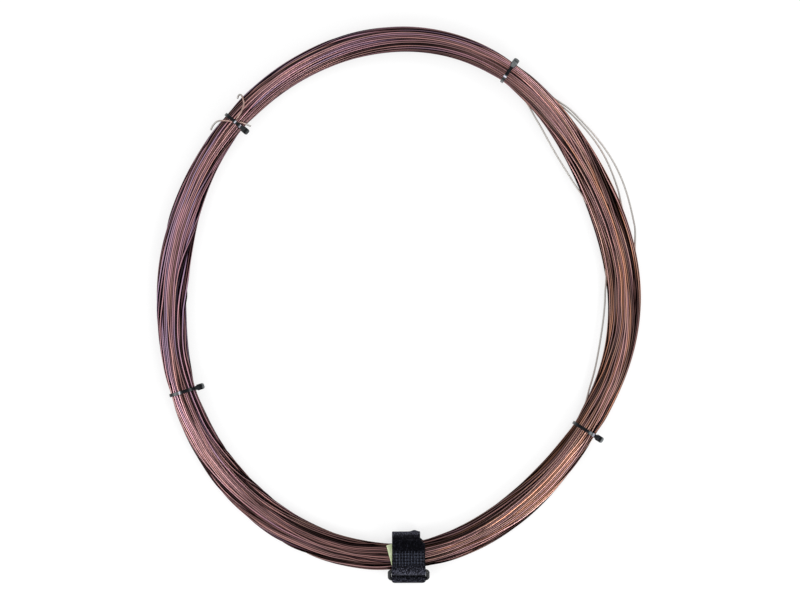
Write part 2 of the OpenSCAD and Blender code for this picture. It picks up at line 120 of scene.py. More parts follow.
def ring_reach(angle):
    """Distance of the ring's middle line from its centre at each direction in degrees."""
    reach = RING_RADIUS
    for depth, lobes, toward in RING_LOBES:
        reach = reach + depth * np.cos(np.radians(lobes * (angle - toward)))
    return reach


def ring_point(angle):
    turn = np.radians(angle)
    middle = ring_reach(angle)[..., None] * np.stack((np.cos(turn), np.sin(turn)), -1)
    return middle - RING_SHIFT


def ring_outward(angle):
    """Direction square to the ring's middle line, away from its centre."""
    return rightward(ring_point(angle + 0.5) - ring_point(angle - 0.5))


def hold_angle(binding):
    return math.degrees(math.asin(binding[2] / ring_reach(np.array(binding[0]))))


def fading(distance, length):
    """Falls from 1 at a binding to 0 at a length from it."""
    return 0 if distance >= length else (1 + math.cos(math.pi * distance / length)) / 2


def bundle_shape(angle, wire, turns):
    """Width, height and floor of the bundle at one direction."""
    angle = (angle - BINDINGS[0][0]) % FULL_TURN + BINDINGS[0][0]
    last = len(BINDINGS) - 1
    for i, here in enumerate(BINDINGS):
        there = BINDINGS[(i + 1) % len(BINDINGS)]
        start = here[0] + hold_angle(here)
        end = there[0] - hold_angle(there) + (FULL_TURN if i == last else 0)
        if angle <= end:
            break
    share = min(1, max(0, (angle - start) / (end - start)))
    run = math.radians(end - start) * RING_RADIUS
    swell = math.sin(math.pi * share) ** 2
    step = share * share * (3 - 2 * share)
    before, after = share * run, (1 - share) * run
    width = here[1] + (there[1] - here[1]) * step + SPRUNG_WIDTH + here[4] * swell
    drawn = fading(before, SPRING_LENGTH) + fading(after, SPRING_LENGTH)
    metal = turns * math.pi * (wire / 2) ** 2
    area = metal / TIED_PACKING * (1 - swell) + metal / LOOSE_PACKING * swell
    lift = max(here[3] * fading(before, SETTLE_LENGTH), there[3] * fading(after, SETTLE_LENGTH))
    return width - SPRUNG_WIDTH * drawn, area / (SECTION_FILL * width), lift


def bound_shape(binding, sizes):
    return bundle_shape(BINDINGS[binding][0] + hold_angle(BINDINGS[binding]), sizes.wire, sizes.turns)


def rounded(value):
    return np.sign(value) * np.abs(value) ** (2 / SECTION_POWER)


def envelope(shape, phi):
    """Outline of the bundle's section at phi radians: outward and up."""
    width, height, lift = shape
    up = lift + height / 2 - FLAT_DEPTH + rounded(np.sin(phi)) * height / 2
    return np.stack((rounded(np.cos(phi)) * width / 2, np.maximum(lift, up)), -1)


# ---- Meshes ----


class Skin:
    """Gathers rings of points swept into tubes, and makes one mesh of them."""

    def __init__(self, *marks):
        self.points, self.faces, self.places, self.count = [], [], [], 0
        self.marks = {mark: [] for mark in marks}

    def sweep(self, rings, closed=False, span=(0, 1), row=(0, 1), **marks):
        """Adds a tube through rings, an array of ring, point and x, y, z."""
        rings = np.asarray(rings, float)
        length, sides = rings.shape[:2]
        first = self.count + np.arange(length)[:, None] * sides + np.arange(sides)
        if closed:
            first = np.concatenate((first, first[:1]))
        ahead = np.roll(first, -1, 1)
        quads = np.stack((first[:-1], ahead[:-1], ahead[1:], first[1:]), -1)
        along = np.linspace(*span, len(first))
        round_it = np.linspace(*row, sides + 1)
        low, high = along[:-1, None], along[1:, None]
        left, right = round_it[None, :-1], round_it[None, 1:]
        corners = ((low, left), (low, right), (high, right), (high, left))
        shape = quads.shape[:2]
        places = [np.stack([np.broadcast_to(k, shape) for k in corner], -1) for corner in corners]
        self.faces.append(quads.reshape(-1, 4))
        self.places.append(np.stack(places, 2).reshape(-1, 4, 2))
        if not closed:
            for ring, u in ((first[0][::-1], span[0]), (first[-1], span[1])):
                self.faces.append(ring[None])
                spots = np.linspace(*row, sides)
                self.places.append(np.stack((np.full(sides, u), spots), -1)[None])
        self.points.append(rings.reshape(-1, 3))
        for mark, values in marks.items():
            values = np.asarray(values, float)
            if values.ndim == 1:
                values = np.repeat(values, sides)
            self.marks[mark].append(values.ravel() if values.shape == (length, sides) else values)
        self.count += length * sides

    def build(self, name, material):
        """Makes the object, which rides on the root body."""
        mesh = bpy.data.meshes.new(name)
        points = np.concatenate(self.points)
        loops = np.concatenate([face.ravel() for face in self.faces])
        sizes = np.concatenate([np.full(len(face), face.shape[1]) for face in self.faces])
        mesh.vertices.add(len(points))
        mesh.vertices.foreach_set("co", points.ravel())
        mesh.loops.add(len(loops))
        mesh.loops.foreach_set("vertex_index", loops)
        mesh.polygons.add(len(sizes))
        mesh.polygons.foreach_set("loop_start", np.concatenate(([0], np.cumsum(sizes)[:-1])))
        mesh.polygons.foreach_set("use_smooth", np.ones(len(sizes), bool))
        layer = mesh.uv_layers.new(name=PATTERN_MAP)
        layer.data.foreach_set("uv", np.concatenate([place.ravel() for place in self.places]))
        for mark, values in self.marks.items():
            values = np.concatenate(values)
            kind, key = ("FLOAT", "value") if values.ndim == 1 else ("FLOAT_VECTOR", "vector")
            mesh.attributes.new(mark, kind, "POINT").data.foreach_set(key, values.ravel())
        mesh.update()
        mesh.validate()
        mesh.materials.append(material)
        piece = bpy.data.objects.new(name, mesh)
        bpy.context.scene.collection.objects.link(piece)
        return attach(piece, "root") or piece


def wire_rings(path, radius, sides):
    """Rings of a round wire along a path of points."""
    along = unit(np.gradient(path, axis=0))
    side = unit(np.cross(along, (0, 0, 1)))
    above = np.cross(side, along)
    turn = 2 * math.pi * np.arange(sides) / sides
    ring = np.cos(turn)[:, None] * side[:, None] + np.sin(turn)[:, None] * above[:, None]
    return path[:, None] + radius * ring


def spline(points, steps):
    """Points of a smooth curve through the given ones."""
    points = np.asarray(points, float)
    last = len(points) - 1
    out = []
    for i in range(last):
        a, b, c, d = (points[min(max(k, 0), last)] for k in (i - 1, i, i + 1, i + 2))
        for t in np.arange(steps) / steps:
            square, cube = t * t, t * t * t
            bend, twist = 2 * a - 5 * b + 4 * c - d, 3 * b - a - 3 * c + d
            out.append(0.5 * (2 * b + (c - a) * t + bend * square + twist * cube))
    return np.array(out + [points[last]])


def at_binding(binding, points, skew=0.0):
    """Places points drawn at a binding, outward, up and back along the bundle, in the frame."""
    angle, hold = BINDINGS[binding][0], hold_angle(BINDINGS[binding])
    before, after = ring_point(np.array(angle - hold)), ring_point(np.array(angle + hold))
    middle = (before + after) / 2
    heading = math.atan2(*(after - before)[::-1]) - math.pi / 2 - math.radians(skew)
    outward = np.array((math.cos(heading), math.sin(heading)))
    onward = np.array((-outward[1], outward[0]))
    points = np.asarray(points, float)
    flat = middle + points[..., :1] * outward - points[..., 2:] * onward
    return np.concatenate((flat, points[..., 1:2]), -1)


# ---- Lay of the turns ----


def packed_places(count):
    """Places one apart in a close packing, the nearest to the middle first."""
    reach = int(math.sqrt(count)) + 3
    row, column = np.mgrid[-reach : reach + 1, -reach : reach + 1]
    x = column + 0.5 * (row % 2) + 0.17
    y = row * math.sqrt(3) / 2 + 0.11
    places = np.stack((x.ravel(), y.ravel()), -1)
    return places[np.argsort(np.hypot(x, y).ravel(), kind="stable")[:count]]


def waves(draw, shape, lobes, swings, turn):
    """Smooth closed waves round the ring, one for each entry of shape."""
    out = np.zeros((len(turn),) + shape)
    spread = turn.reshape((-1,) + (1,) * len(shape))
    for count, swing in zip(lobes, swings):
        phase = draw.uniform(0, 2 * math.pi, shape)
        out += swing * draw.uniform(0.5, 1.3, shape) * np.cos(count * spread + phase)
    return out


def following(lay):
    """What comes next along the one wire: the next station, or the next turn's first."""
    out = np.roll(lay, -1, 0)
    out[-1, :-1] = lay[0, 1:]
    out[-1, -1] = lay[-1, -1]
    return out


def preceding(lay):
    out = np.roll(lay, 1, 0)
    out[0, 1:] = lay[-1, :-1]
    out[0, 0] = lay[0, 0]
    return out


def draw_taut(lay, share):
    """Draws each turn by a share towards the middle of its places before and after."""
    lay += share * ((preceding(lay) + following(lay)) / 2 - lay)


def neighbours(lay, count):
    """Index of the nearest turns to each turn at each station."""
    out = np.empty(lay.shape[:2] + (count,), np.int32)
    for station, row in enumerate(lay.astype(np.float32)):
        gap = (row[:, None, 0] - row[None, :, 0]) ** 2 + (row[:, None, 1] - row[None, :, 1]) ** 2
        np.fill_diagonal(gap, 9)
        out[station] = np.argpartition(gap, count, axis=1)[:, :count]
    return out


class Lay:
    """The places of all the turns in the bundle's section, station by station round the ring."""

    stations = 240
    near = 10
    settling_rounds = 72
    # Angle between the starts of two hanks, in radians
    golden = 2.39996
    # Pull back to where a turn and a stray were wound, for the first share of the rounds
    hold, stray_hold, held_share = 0.10, 0.25, 0.6
    # Shares by which a turn is drawn taut, in most rounds, the last ones and afterwards
    taut, last_taut, after_taut = 0.4, 0.12, 0.25
    last_taut_rounds, after_rounds = 6, 3
    # Shares of an overlap that a push clears, and of the room between hanks while held and later
    push, held_room_push, room_push = 0.42, 0.22, 0.13
    closing_rounds = 8

    def __init__(self, sizes):
        self.sizes = sizes
        self.wire = sizes.wire
        self.draw = np.random.default_rng(sizes.seed)
        share = np.arange(self.stations) / self.stations
        self.turn = 2 * math.pi * share
        self.angles = BINDINGS[STRAP][0] + FULL_TURN * share
        shapes = np.array([bundle_shape(angle, sizes.wire, sizes.turns) for angle in self.angles])
        self.width, self.height, self.lift = shapes.T[:, :, None]
        self.middle = self.lift + self.height / 2 - FLAT_DEPTH
        self.share_out_hanks()
        self.lay = self.first_lay(share)
        self.settle()

    def share_out_hanks(self):
        """Shares the packing out between hanks, and puts the turns in winding order."""
        count = self.sizes.hanks
        places = packed_places(self.sizes.turns)
        self.reach = math.sqrt(self.sizes.turns * math.sqrt(3) / 2 / math.pi)
        k = np.arange(count)
        spiral = np.stack((np.cos(self.golden * k), np.sin(self.golden * k)), -1)
        seeds = np.sqrt((k + 0.5) / count)[:, None] * self.reach * spiral
        seeds += self.draw.uniform(-0.9, 0.9, seeds.shape)
        hank = np.argmin(np.linalg.norm(places[:, None] - seeds, axis=-1), axis=1)
        self.centres = np.stack([places[hank == g].mean(0) for g in range(count)])
        order, left, g = [], set(range(count)), 0
        while left:
            left.discard(g)
            own = np.flatnonzero(hank == g)
            row = np.round(places[own, 1] * 2 / math.sqrt(3)).astype(int)
            order += list(own[np.lexsort((places[own, 0] * np.where(row % 2, 1, -1), row))])
            if left:
                g = min(left, key=lambda other: np.linalg.norm(self.centres[other] - self.centres[g]))
        self.places, self.hank = places[order], hank[order]

    def first_lay(self, share):
        """Turns as wound: hanks wander and twist in the section, and turns shift on by one a round."""
        turn, draw = self.turn, self.draw
        twist = 0.45 * np.sin(2 * turn + 1.0) + 0.25 * np.sin(3 * turn + 2.2)
        spin = waves(draw, (self.sizes.hanks,), (1, 2, 3), (0.3, 0.3, 0.15), turn)
        spin = twist[:, None] * 0.6 + spin
        x, y = self.centres.T / self.reach
        cos, sin = np.cos(twist)[:, None], np.sin(twist)[:, None]
        wander = waves(draw, (self.sizes.hanks, 2), (2, 3, 4, 6), (0.08, 0.07, 0.05, 0.03), turn)
        x, y = x * cos - y * sin + wander[..., 0], x * sin + y * cos + wander[..., 1]
        depth, phi = np.minimum(np.hypot(x, y), 1), np.arctan2(y, x)
        hank_x = depth * rounded(np.cos(phi)) * self.width / 2
        hank_y = self.middle + depth * rounded(np.sin(phi)) * self.height / 2
        offset = 1.03 * self.wire * (self.places - self.centres[self.hank])
        cos, sin = np.cos(spin)[:, self.hank], np.sin(spin)[:, self.hank]
        swings = np.array((0.25, 0.2, 0.12, 0.06)) * self.wire
        own = waves(draw, (self.sizes.turns, 2), (2, 3, 5, 8), swings, turn)
        lay = np.stack(
            (
                hank_x[:, self.hank] + offset[:, 0] * cos - offset[:, 1] * sin,
                hank_y[:, self.hank] + offset[:, 0] * sin + offset[:, 1] * cos,
            ),
            -1,
        )
        lay += own
        onward = np.concatenate((lay[:, 1:], lay[:, -1:]), 1)
        lay += share[:, None, None] * (onward - lay)
        return self.with_strays(lay)

    def with_strays(self, lay):
        """Lets a few of the outer turns cross over their neighbours."""
        count = self.sizes.strays
        outer = np.flatnonzero(np.hypot(*self.places.T) > 0.86 * self.reach)
        self.strays = self.draw.choice(outer, count, replace=False)
        sway = waves(self.draw, (count,), (3, 4, 6), (0.14, 0.12, 0.07), self.turn)
        x = lay[:, self.strays, 0] / (self.width / 2)
        y = (lay[:, self.strays, 1] - self.middle) / (self.height / 2)
        phi = np.arctan2(y, x) + sway
        lay[:, self.strays, 0] = rounded(np.cos(phi)) * self.width / 2
        lay[:, self.strays, 1] = self.middle + rounded(np.sin(phi)) * self.height / 2
        return lay

    def crowding(self, lay):
        """How far out each turn lies, as a share of the way to the bundle's outline."""
        x = np.abs(lay[..., 0] / (self.width / 2 - self.wire / 2))
        y = np.abs((lay[..., 1] - self.middle) / (self.height / 2 - self.wire / 2))
        return (x**SECTION_POWER + y**SECTION_POWER) ** (1 / SECTION_POWER)

    def contain(self, lay):
        scale = 1 / np.maximum(self.crowding(lay), 1)
        lay[..., 0] *= scale
        up = self.middle + (lay[..., 1] - self.middle) * scale
        lay[..., 1] = np.maximum(up, self.lift + self.wire / 2)

    def settle(self):
        """Pushes overlapping turns apart and draws each turn taut, inside the outline."""
        lay, wound = self.lay, self.lay.copy()
        rounds = self.settling_rounds // 1
        hold = np.full((self.sizes.turns, 1), self.hold)
        hold[self.strays] = self.stray_hold
        station = np.arange(self.stations)[:, None, None]
        band = self.hank.copy()
        band[self.strays] = self.sizes.hanks + np.arange(self.sizes.strays)
        slack = np.sin(math.pi * self.slack_share()) ** 2
        room = self.sizes.parting * (0.45 + 0.55 * slack)[:, None, None]
        for k in range(rounds):
            if k % 6 == 0:
                self.contain(lay)
                near = neighbours(lay, self.near)
                apart = 1 + room * (band[near] != band[None, :, None])
            held = k < self.held_share * rounds
            taut = self.last_taut if k >= rounds - self.last_taut_rounds else self.taut
            room_push = self.held_room_push if held else self.room_push
            lay += hold * max(0, 1 - k / (self.held_share * rounds)) * (wound - lay)
            for _ in range(2):
                for _ in range(2):
                    draw_taut(lay, taut)
                onward = following(lay)
                gap = lay[:, :, None] - lay[station, near]
                drift = onward[:, :, None] - onward[station, near] - gap
                place = -(gap * drift).sum(-1) / np.maximum((drift**2).sum(-1), 1e-14)
                place = np.clip(place, 0, 1)
                gap += place[..., None] * drift
                distance = np.sqrt((gap**2).sum(-1))
                push = self.push * np.maximum(self.wire - distance, 0)
                if k < rounds - self.closing_rounds:
                    push += room_push * np.maximum(self.wire * apart - distance, 0)
                gap *= (push / np.maximum(distance, 1e-7))[..., None]
                ahead = (gap * place[..., None]).sum(2)
                lay += gap.sum(2) - ahead
                lay[1:] += ahead[:-1]
                lay[0, 1:] += ahead[-1, :-1]
                self.contain(lay)
        for _ in range(self.after_rounds):
            draw_taut(lay, self.after_taut)
        self.contain(lay)

    def slack_share(self):
        """How far each station lies between its two bindings, from 0 at one to 1 at the next."""
        out = []
        for angle in self.angles:
            place = (angle - BINDINGS[0][0]) % FULL_TURN + BINDINGS[0][0]
            starts = [binding[0] for binding in BINDINGS] + [BINDINGS[0][0] + FULL_TURN]
            i = max(k for k in range(len(BINDINGS)) if starts[k] <= place)
            out.append((place - starts[i]) / (starts[i + 1] - starts[i]))
        return np.array(out)

    def depths(self):
        """How deep each turn lies under the bundle's outline."""
        inside = (1 - self.crowding(self.lay)) * np.minimum(self.width, self.height) / 2
        return np.minimum(inside, self.lay[..., 1] - self.lift - self.wire / 2)

    def facing_out(self):
        """Direction out of the bundle at each turn, in the frame."""
        x = self.lay[..., 0] / (self.width / 2)
        y = (self.lay[..., 1] - self.middle) / (self.height / 2)
        power = SECTION_POWER - 1
        out = np.sign(x) * np.abs(x) ** power / self.width
        up = np.sign(y) * np.abs(y) ** power / self.height
        size = np.maximum(np.hypot(out, up), 1e-9)
        flat = (out / size)[..., None] * ring_outward(self.angles)[:, None]
        return np.concatenate((flat, (up / size)[..., None]), -1)

    def set_out(self, lay):
        """Places of the turns in the frame."""
        middle = ring_point(self.angles)[:, None]
        outward = ring_outward(self.angles)[:, None]
        flat = middle + lay[..., :1] * outward
        return np.concatenate((flat, lay[..., 1:]), -1)


def warmth_at(points):
    """Share of the bright, unclouded copper, more on the right of the coil than on the left."""
    angle = np.arctan2(points[..., 1], points[..., 0])
    return 0.5 + 0.5 * np.cos(angle + 0.35)


def painted_light_at(points):
    """Brightness of painted light and shade on the copper: most on the left and outside, least beside
    the strap and inside.
    """
    x, y = points[..., 0] + RING_SHIFT[0], points[..., 1] + RING_SHIFT[1]
    angle = np.arctan2(y, x)
    toward = np.radians((172, 268, 345)).reshape((3,) + (1,) * angle.ndim)
    left, low, right = np.exp(6 * (np.cos(angle - toward) - 1))
    outside = np.clip((np.hypot(x, y) - ring_reach(np.degrees(angle))) / (12 * MM), -1, 1)
    return (0.85 + 0.58 * left - 0.22 * low + 0.12 * right) * (1 + 0.42 * outside)


def halved(values):
    """Adds a place halfway between every two along the first axis, on a smooth curve."""
    before = np.concatenate((values[:1], values[:-2]))
    after = np.concatenate((values[2:], values[-1:]))
    middle = (9 * (values[:-1] + values[1:]) - before - after) / 16
    out = np.empty((2 * len(values) - 1,) + values.shape[1:])
    out[::2], out[1::2] = values, middle
    return out


def shown_runs(shown):
    """Stretches of stations where a turn shows, as first and last."""
    wide = shown | np.roll(shown, 1) | np.roll(shown, -1)
    wide[0], wide[-1] = wide[0] or wide[1], wide[-1] or wide[-2]
    edges = np.flatnonzero(np.diff(np.concatenate(([0], wide.astype(int), [0]))))
    return [(first, last - 1) for first, last in edges.reshape(-1, 2) if last - first > 4]


def lay_hanks(sizes, material):
    """The bound turns that can be seen, in one piece for every few hanks."""
    lay = Lay(sizes)
    places = lay.set_out(lay.lay)
    depths = lay.depths()
    shown = depths < sizes.drawn_depth
    # How deep a turn lies, which the copper darkens as painted shade
    sunk = np.clip((depths - 0.15 * sizes.wire) / (0.9 * sizes.wire), 0, 1)
    marks = (lay.facing_out(), shown, sunk)
    facing, shown, sunk = (np.concatenate((mark, mark[-1:])) for mark in marks)
    # Each turn runs on to the start of the next, and the last one straight on
    end = following(places)[-1]
    end[-1] = 2 * places[-1, -1] - places[-2, -1]
    places = np.concatenate((places, end[None]))
    warmth, clearness = warmth_at(places), painted_light_at(places)
    tones = lay.draw.uniform(0, 1, sizes.turns)
    length = 2 * math.pi * RING_RADIUS
    pieces = []
    for part in range(COIL_PIECES):
        skin = Skin("lay", "tone", "warmth", "clearness", "sunk", "rubbed")
        own = np.flatnonzero(lay.hank * COIL_PIECES // sizes.hanks == part)
        for row, turn in enumerate(own):
            for first, last in shown_runs(shown[:, turn]):
                stretch = slice(first, last + 1)
                along = np.linspace(first, last, 2 * (last - first) + 1) / lay.stations
                marks = np.stack(
                    (
                        along * length + turn * TURN_SHIFT,
                        np.full(len(along), turn * TURN_STEP),
                        np.full(len(along), lay.hank[turn] * HANK_STEP),
                    ),
                    -1,
                )
                path, radius = halved(places[stretch, turn]), sizes.wire * sizes.fullness / 2
                rings = wire_rings(path, radius, sizes.sides)
                outward = halved(facing[stretch, turn])[:, None]
                # How far each point of the wire faces out of the bundle: the copper paints light on
                # the crest that faces out and shade on the flanks that face the neighbouring turns
                rubbed = ((rings - path[:, None]) * outward).sum(-1) / radius
                skin.sweep(
                    rings,
                    span=(along[0], along[-1]),
                    row=((row + 0.06) / len(own), (row + 0.94) / len(own)),
                    lay=np.repeat(marks, sizes.sides, 0),
                    tone=np.full(len(along), tones[turn]),
                    warmth=halved(warmth[stretch, turn]),
                    clearness=halved(clearness[stretch, turn]),
                    sunk=halved(sunk[stretch, turn]),
                    rubbed=rubbed,
                )
        pieces.append(skin.build(f"bound_hanks_{part + 1}", material))
    return lay, pieces


def lay_inner_turns(lay, sizes, material):
    """A ribbed ring just under the turns that are drawn one by one, for all the hidden ones."""
    ribs, per_rib = 64, 3
    phi = 2 * math.pi * np.arange(ribs * per_rib) / (ribs * per_rib)
    depth = sizes.drawn_depth + 0.1 * MM
    rings = []
    for k in range(lay.stations):
        width, height, lift = lay.width[k, 0], lay.height[k, 0], lay.lift[k, 0]
        twist = 0.25 * math.sin(3 * lay.turn[k])
        outline = envelope((width - 2 * depth, height - 2 * depth, lift + depth), phi)
        outline[:, 1] = np.maximum(outline[:, 1], lift + depth)
        middle = np.array((0, lift + height / 2))
        sink = 1 - 0.025 * (1 + np.cos(ribs * (phi + twist)))
        rings.append(middle + (outline - middle) * sink[:, None])
    rings = lay.set_out(np.array(rings))
    skin = Skin("lay", "tone", "warmth", "clearness", "sunk", "rubbed")
    marks = np.zeros(rings.shape)
    marks[..., 0] = (lay.turn * RING_RADIUS)[:, None]
    marks[..., 1] = np.floor(np.arange(ribs * per_rib) / per_rib) * TURN_STEP
    skin.sweep(
        rings,
        closed=True,
        lay=marks.reshape(-1, 3),
        tone=np.zeros(len(rings)),
        warmth=warmth_at(rings[:, 0]),
        clearness=np.ones(len(rings)),
        # Fully sunk, so the whole ring takes the painted shade of the deep turns
        sunk=np.ones(len(rings)),
        rubbed=np.ones(len(rings)),
    )
    return skin.build("inner_turns", material)


# ---- Loose turns and wire end ----


def loose_turn_routes(sizes):
    """Routes of the turns that have sprung clear of the bundle."""
    seat = SEAT + sizes.wire / 2
    step = SEAT + sizes.wire
    turns = (
        (10, 54, 1, 6.0 * MM, seat + step),
        (20, 53, 1, 3.9 * MM, seat),
        (26, 58, -1, 3.6 * MM, seat),
        (-31, 8, -1, 3.1 * MM, seat),
    )
    for start, end, side, stand, close in turns:
        angle = np.linspace(start, end, 73)
        share = (angle - start) / (end - start)
        beyond = 1 - np.minimum(np.minimum(angle - start, end - angle) / sizes.sinking, 1)
        shapes = np.array([bundle_shape(a, sizes.wire, sizes.turns) for a in angle])
        out = shapes[:, 0] / 2 + close + stand * np.sin(math.pi * share) ** 2
        out = side * (out - (close + 0.9 * sizes.wire) * beyond * beyond * (3 - 2 * beyond))
        height = shapes[:, 2] + (shapes[:, 1] - FLAT_DEPTH) / 2
        flat = ring_point(angle) + out[:, None] * ring_outward(angle)
        yield np.concatenate((flat, height[:, None]), 1)


# Stretches of the free end round the upper left tie, as points by how far they lie
# outward, along the bundle away from the top, and above the crest of the bundle, in mm
END_STRETCHES = (
    (
        (9.9, 16.4, -8.7), (10.3, 15, -8.2), (10.6, 13, -7.2), (10.6, 10.6, -6),
        (9.9, 8.6, -4.6), (8.6, 6.9, -2.9), (6.6, 5.2, -1.2), (4.8, 3.8, -0.3), (3.5, 2.8, -0.55),
        (2.4, 1.9, -1.1), (1.5, 1.0, -1.35),
    ),
    (
        (-3.0, -0.9, -1.55), (-3.7, -1.8, -1.25), (-4.7, -2.7, -0.6), (-6.6, -3.4, -1.3),
        (-9.6, -4.5, -2.7), (-12, -5.2, -3.5),
    ),
    (
        (9.9, -15, -8.3), (10.5, -16.6, -7.2), (10.2, -18, -5.8), (9, -18.6, -4), (7.2, -18.1, -2.4),
        (5.5, -17.1, -1.2), (3.5, -15.6, -0.4), (1.8, -13.6, 0), (0.9, -11, 0.1), (0.2, -8.8, 0.2),
        (-0.2, -6.6, 0.2), (-0.4, -4.4, 0.1), (-0.5, -3.0, -0.45), (-0.55, -1.9, -1.1),
        (-0.6, -0.9, -1.35),
    ),
)


def wire_end_routes(sizes):
    shape = bound_shape(UPPER_LEFT, sizes)
    crest = TIE_LIFT + shape[1] - FLAT_DEPTH + sizes.wire / 2
    for stretch in END_STRETCHES:
        points = np.array([(x * MM, crest + z * MM, -y * MM) for x, y, z in stretch])
        yield at_binding(UPPER_LEFT, spline(points, 6))


def lying_on(route, sizes):
    """Share by which a wire lies on the bundle: 1 over it, 0 once it is clear of its side."""
    out = []
    for x, y in route[:, :2] + RING_SHIFT:
        angle = math.degrees(math.atan2(y, x))
        off = abs(math.hypot(x, y) - ring_reach(np.array(angle)))
        out.append((bundle_shape(angle, sizes.wire, sizes.turns)[0] / 2 + 1.5 * MM - off) / (3 * MM))
    return np.clip(out, 0, 1)


def draw_wires(name, node, routes, sizes, material):
    """Single wires away from the bundle, as one piece."""
    skin, sides = Skin("lay", "tone", "warmth"), 12
    routes = list(routes)
    for row, route in enumerate(routes):
        step = np.linalg.norm(np.diff(route, axis=0), axis=1)
        along = np.concatenate(([0], np.cumsum(step)))
        marks = along[:, None] * (1, 0, 0) + (row, 5.1 * row, 3.0)
        skin.sweep(
            wire_rings(route, sizes.wire / 2, sides),
            row=((row + 0.05) / len(routes), (row + 0.95) / len(routes)),
            lay=np.repeat(marks, sides, 0),
            tone=np.full(len(along), 0.9),
            # Over the bundle a loose wire keeps a rosy copper; clear of it, it takes the pale grey of
            # the painted reflection of the white floor
            warmth=lying_on(route, sizes),
        )
    piece = skin.build(name, material)
    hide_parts(node)
    return piece


# ---- Cable ties ----


def rounded_outline(width, height, corner):
    """Rounded rectangle about its middle, counter-clockwise."""
    out = []
    for k in range(4):
        sx, sy = ((1, 1), (-1, 1), (-1, -1), (1, -1))[k]
        middle = np.array((sx * (width / 2 - corner), sy * (height / 2 - corner)))
        for turn in np.linspace(k * math.pi / 2, (k + 1) * math.pi / 2, 5):
            out.append(middle + corner * np.array((math.cos(turn), math.sin(turn))))
    return np.array(out)


def band_route(shape, grow, count):
    """Closed line round the bundle's section, grown by so much."""
    phi = 2 * math.pi * (np.arange(count) + 0.5) / count
    base = envelope(shape, phi)
    return base + grow * rightward(np.roll(base, -1, 0) - np.roll(base, 1, 0))


def slope_phi(shape, slope):
    """Angle round the section where its outline has come to run down at a slope, in degrees."""
    flatness = math.tan(math.radians(slope)) * shape[0] / shape[1]
    return math.degrees(math.atan(1 / flatness ** (SECTION_POWER / (2 * (SECTION_POWER - 1)))))


def grown(shape, phi, grow):
    """Points of the section's outline at phi degrees, grown by so much."""
    phi = np.radians(phi)
    along = envelope(shape, phi + 0.02) - envelope(shape, phi - 0.02)
    return envelope(shape, phi) + grow * rightward(along)


def on_line(start, along, reach):
    return start + along * (reach - start[0]) / along[0]


def even_loop(points, count):
    """The closed line through points, at even spacing."""
    points = np.concatenate((points, points[:1]))
    along = np.concatenate(([0], np.cumsum(np.linalg.norm(np.diff(points, axis=0), axis=1))))
    places = np.arange(count) / count * along[-1]
    return np.stack([np.interp(places, along, points[:, k]) for k in range(points.shape[1])], -1)


def tie_line(shape, slope, reach, grow):
    """The band's middle line: tangent off the shoulder to the head's slot, and back underneath."""
    ahead = turned(1, -slope)
    upper = slope_phi(shape, slope)
    slot = on_line(grown(shape, upper, grow), ahead, reach)
    tries = np.arange(272, 377, 2)
    away = grown(shape, tries, grow) - slot
    lower = tries[np.argmax(np.degrees(np.arctan2(away[:, 1], away[:, 0])) + FULL_TURN)]
    round_it = grown(shape, np.linspace(upper, lower, 80), grow)
    return even_loop(np.concatenate((round_it, slot[None])), 150)


def sweep_band(skin, place, line, glints, ties):
    """The tie's band, with rounded edges, painted sheen on its sides above the bundle's middle, and
    painted glints where marked.
    """
    normal = rightward(np.roll(line, -1, 0) - np.roll(line, 1, 0))
    outline = rounded_outline(ties.thickness, ties.width, 0.42 * MM)
    rings = np.zeros((len(line), len(outline), 3))
    rings[..., :2] = line[:, None] + outline[None, :, :1] * normal[:, None]
    rings[..., 2] = -outline[:, 1]
    above = line[:, 1] > line[:, 1].mean()
    # Painted sheen where the band runs down the bundle's sides; like the glints, on its upper half
    # only
    bleached = 0.35 * np.clip(np.abs(normal[:, 0]) - 0.4, 0, 1)
    # Painted glints at the marked places along the band
    for middle, reach, amount in glints:
        bleached = bleached + amount * np.exp(-(((line[:, 0] - middle) / reach) ** 2))
    skin.sweep(place(rings), closed=True, row=(0, 0.4), bleached=bleached * above)


def cut_at_angles(polygon, angles):
    """Points of a polygon round the origin, in the directions of angles."""
    here, there = polygon, np.roll(polygon, -1, 0)
    ray = np.stack((np.cos(angles), np.sin(angles)), -1)[:, None]
    side = there - here
    across = ray[..., 0] * side[:, 1] - ray[..., 1] * side[:, 0]
    across = np.where(across == 0, 1e-12, across)
    reach = (here[:, 0] * side[:, 1] - here[:, 1] * side[:, 0]) / across
    share = (here[:, 0] * ray[..., 1] - here[:, 1] * ray[..., 0]) / across
    good = (share >= -1e-9) & (share <= 1 + 1e-9) & (reach > 0)
    reach = np.where(good, reach, np.inf).min(1)
    return reach[:, None] * ray[:, 0]


def head_plan(ties, inset):
    """Outline of the head from above: the band widens into it, and its far end is rounded."""
    long, wide = ties.head_length / 2 - inset, ties.head_width / 2 - inset
    far, near = 1.5 * MM - inset * 0.5, 0.5 * MM
    band = ties.width / 2 - inset
    points = [(-long - ties.neck, -band)]
    corners = ((-1, -1, near, 180), (1, -1, far, 270), (1, 1, far, 0), (-1, 1, near, 90))
    for sx, sy, corner, start in corners:
        middle = np.array((sx * (long - corner), sy * (wide - corner)))
        points += [middle + turned(corner, start + 15 * k) for k in range(7)]
    points.append((-long - ties.neck, band))
    return np.array(points)


